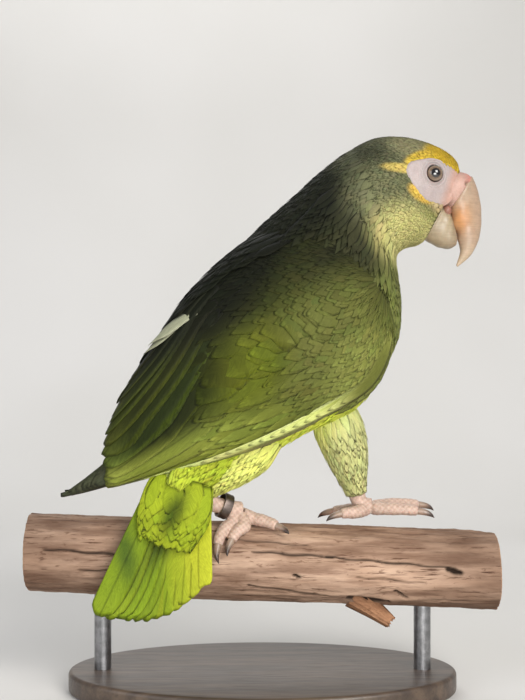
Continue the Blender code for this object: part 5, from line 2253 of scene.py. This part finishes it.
def left_toes() -> dict:
    """The lifted foot's toes, two ahead and two behind.

    Returns:
        Each toe's path in millimetres by its name.
    """
    outer = ((57.2, 16.8, 85.0), (64.0, 18.4, 85.6), (71.0, 19.6, 85.6), (77.5, 20.6, 85.0))
    inner = ((57.2, 9.6, 84.6), (63.4, 8.0, 84.6), (69.4, 6.8, 84.4), (75.4, 6.0, 83.8))
    back_outer = ((46.6, 19.4, 83.0), (42.6, 21.4, 82.4), (38.8, 22.4, 82.0), (34.6, 23.0, 81.4))
    back_inner = ((46.0, 7.6, 83.4), (43.0, 5.6, 83.2), (40.4, 4.4, 83.2), (37.4, 3.6, 82.8))
    return {"outer": outer, "inner": inner, "back_outer": back_outer, "back_inner": back_inner}


def build_skin(body: Body, wings: Sequence[Wing], legs: Sequence[Leg], finish: Material) -> None:
    """One skin over body, wing arms and thighs, marked as the feathers are and darkened as painted
    shade under them.

    Args:
        body: head, neck and trunk.
        wings: both.
        legs: both.
        finish: the skin's.
    """
    shells = [body.skin_shell()]
    shells += [wing.arm_shell() for wing in wings] + [leg.thigh_shell() for leg in legs]
    mesh = voxel_union("skin", shells, body.voxel)
    points = mesh_points(mesh)
    tint, _ = BODY_PATTERN(points)
    bare, _ = BARE_PATTERN(points)
    x, _, z = (points / MM).T
    share = smooth_step(x, 84.5, 87.5) * smooth_step(z, 214, 219) * (1 - smooth_step(z, 246, 249))
    # Painted shade: the skin takes the feathers' colours at three quarters, as it lies in their
    # shade.
    colour_points(mesh, "tint", mixed(tint * 0.75, bare, share[:, None]))
    add_piece("skin", mesh, finish, "body_plumage")


def build_stand() -> None:
    """The plain stand: an oval base whose rims are quarter circles, and two round rods."""
    turn = turns(144)[None, :]
    quarter = np.linspace(0, math.pi / 2, 9)
    low, high = np.array(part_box("stand_base"))
    edge, middle = 2 * MM, 28 * MM  # the rims' radius, and how far in the flat faces' rings go
    out, up, top = edge * np.sin(quarter), edge - edge * np.cos(quarter), high[2]
    inset = np.concatenate([[middle, 2 * edge], edge - out, up, [2 * edge, middle]])
    rise = np.concatenate([[0, 0], up, top - edge + out, [top, top]])
    inset, rise, half = inset[:, None], rise[:, None], (high - low) / 2
    rings = [(half[0] - inset) * np.cos(turn), (half[1] - inset) * np.sin(turn), rise + 0 * turn]
    base = tube(np.stack(rings, axis=-1))
    add_shape("stand_foot", base, None, LacquerFinish().material(), "stand_wood", "stand_base")
    steel = MetalFinish("stand_steel", (150, 150, 152), 0.34).material()
    for side in ("left", "right"):
        low, high = np.array(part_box(f"stand_rod_{side}"))
        radius = (high[1] - low[1]) / 2
        rise = np.linspace(low[2], high[2], 14)[:, None]
        x, y = (low[0] + high[0]) / 2 + radius * np.cos(turn), radius * np.sin(turn)
        rod = tube(np.stack(np.broadcast_arrays(x, y, rise), axis=-1))
        add_shape(f"stand_post_{side}", rod, None, steel, "stand_metal", f"stand_rod_{side}")


def main() -> None:
    """Builds the bird, its branch and the studio in order."""
    logging.basicConfig(level=logging.INFO, format="%(name)s: %(message)s")
    down = PlumageFinish("contour_feathers").material()
    covert = PlumageFinish("covert_feathers", 0.62, 30.0, 0.36).material()
    flight = PlumageFinish("flight_feathers", 0.70, 46.0, 0.34, 0.55, 0.35).material()
    body = Body()
    wings = [Wing(side) for side in Side]
    right = Leg(
        Side.RIGHT,
        (
            ((4, -10, 122), (-5, -14, 114), (-15, -15.5, 105.5), (-25, -14.5, 97)),
            (10, 11.5, 9.5, 5.4),
        ),
        (
            ((-26.5, -14.2, 93.2), (-22, -12.0, 89.6), (-16.5, -9.2, 87.6), (-11, -6.4, 85.8)),
            (4.4, 3.8, 3.7, 4.4),
        ),
        right_toes(),
        101,
    )
    left = Leg(
        Side.LEFT,
        (
            ((33, 4, 136), (36, 6, 126), (40.5, 10, 112), (45.6, 13, 92)),
            (11, 13, 11.5, 5.8),
        ),
        (
            ((46.0, 13, 91.2), (46.8, 13.2, 88.4), (49.0, 13.2, 86.0), (52.2, 13, 85.0)),
            (4.2, 3.8, 3.9, 4.2),
        ),
        left_toes(),
        111,
    )
    legs = (right, left)
    build_skin(body, wings, legs, SkinFinish("bird_skin", 900.0, 0.10).material())
    body.dress(down)
    for wing in wings:
        wing.dress(covert, flight)
    Cape().dress(down)
    Tail().dress(down, flight)
    foot = SkinFinish("scaly_foot", 700.0, 0.16, 0.55, 1.0).material()
    claw = HornFinish("claw_horn", 0.3).material()
    for leg in legs:
        leg.dress(down)
        leg.build_foot(foot, claw)
    LegRing().build(MetalFinish("ring_metal", (120, 108, 102), 0.36).material())
    glass = GlassFinish().material()
    face = SkinFinish("face_skin", 1100.0, 0.10, 0.5, 0.3).material()
    for side in Side:
        Eye(side).build(glass, face)
    Bill().build(HornFinish("bill_horn").material(), face)
    Branch().build(BranchFinish().material())
    build_stand()
    Studio().build()


if __name__ == "__main__":
    main()
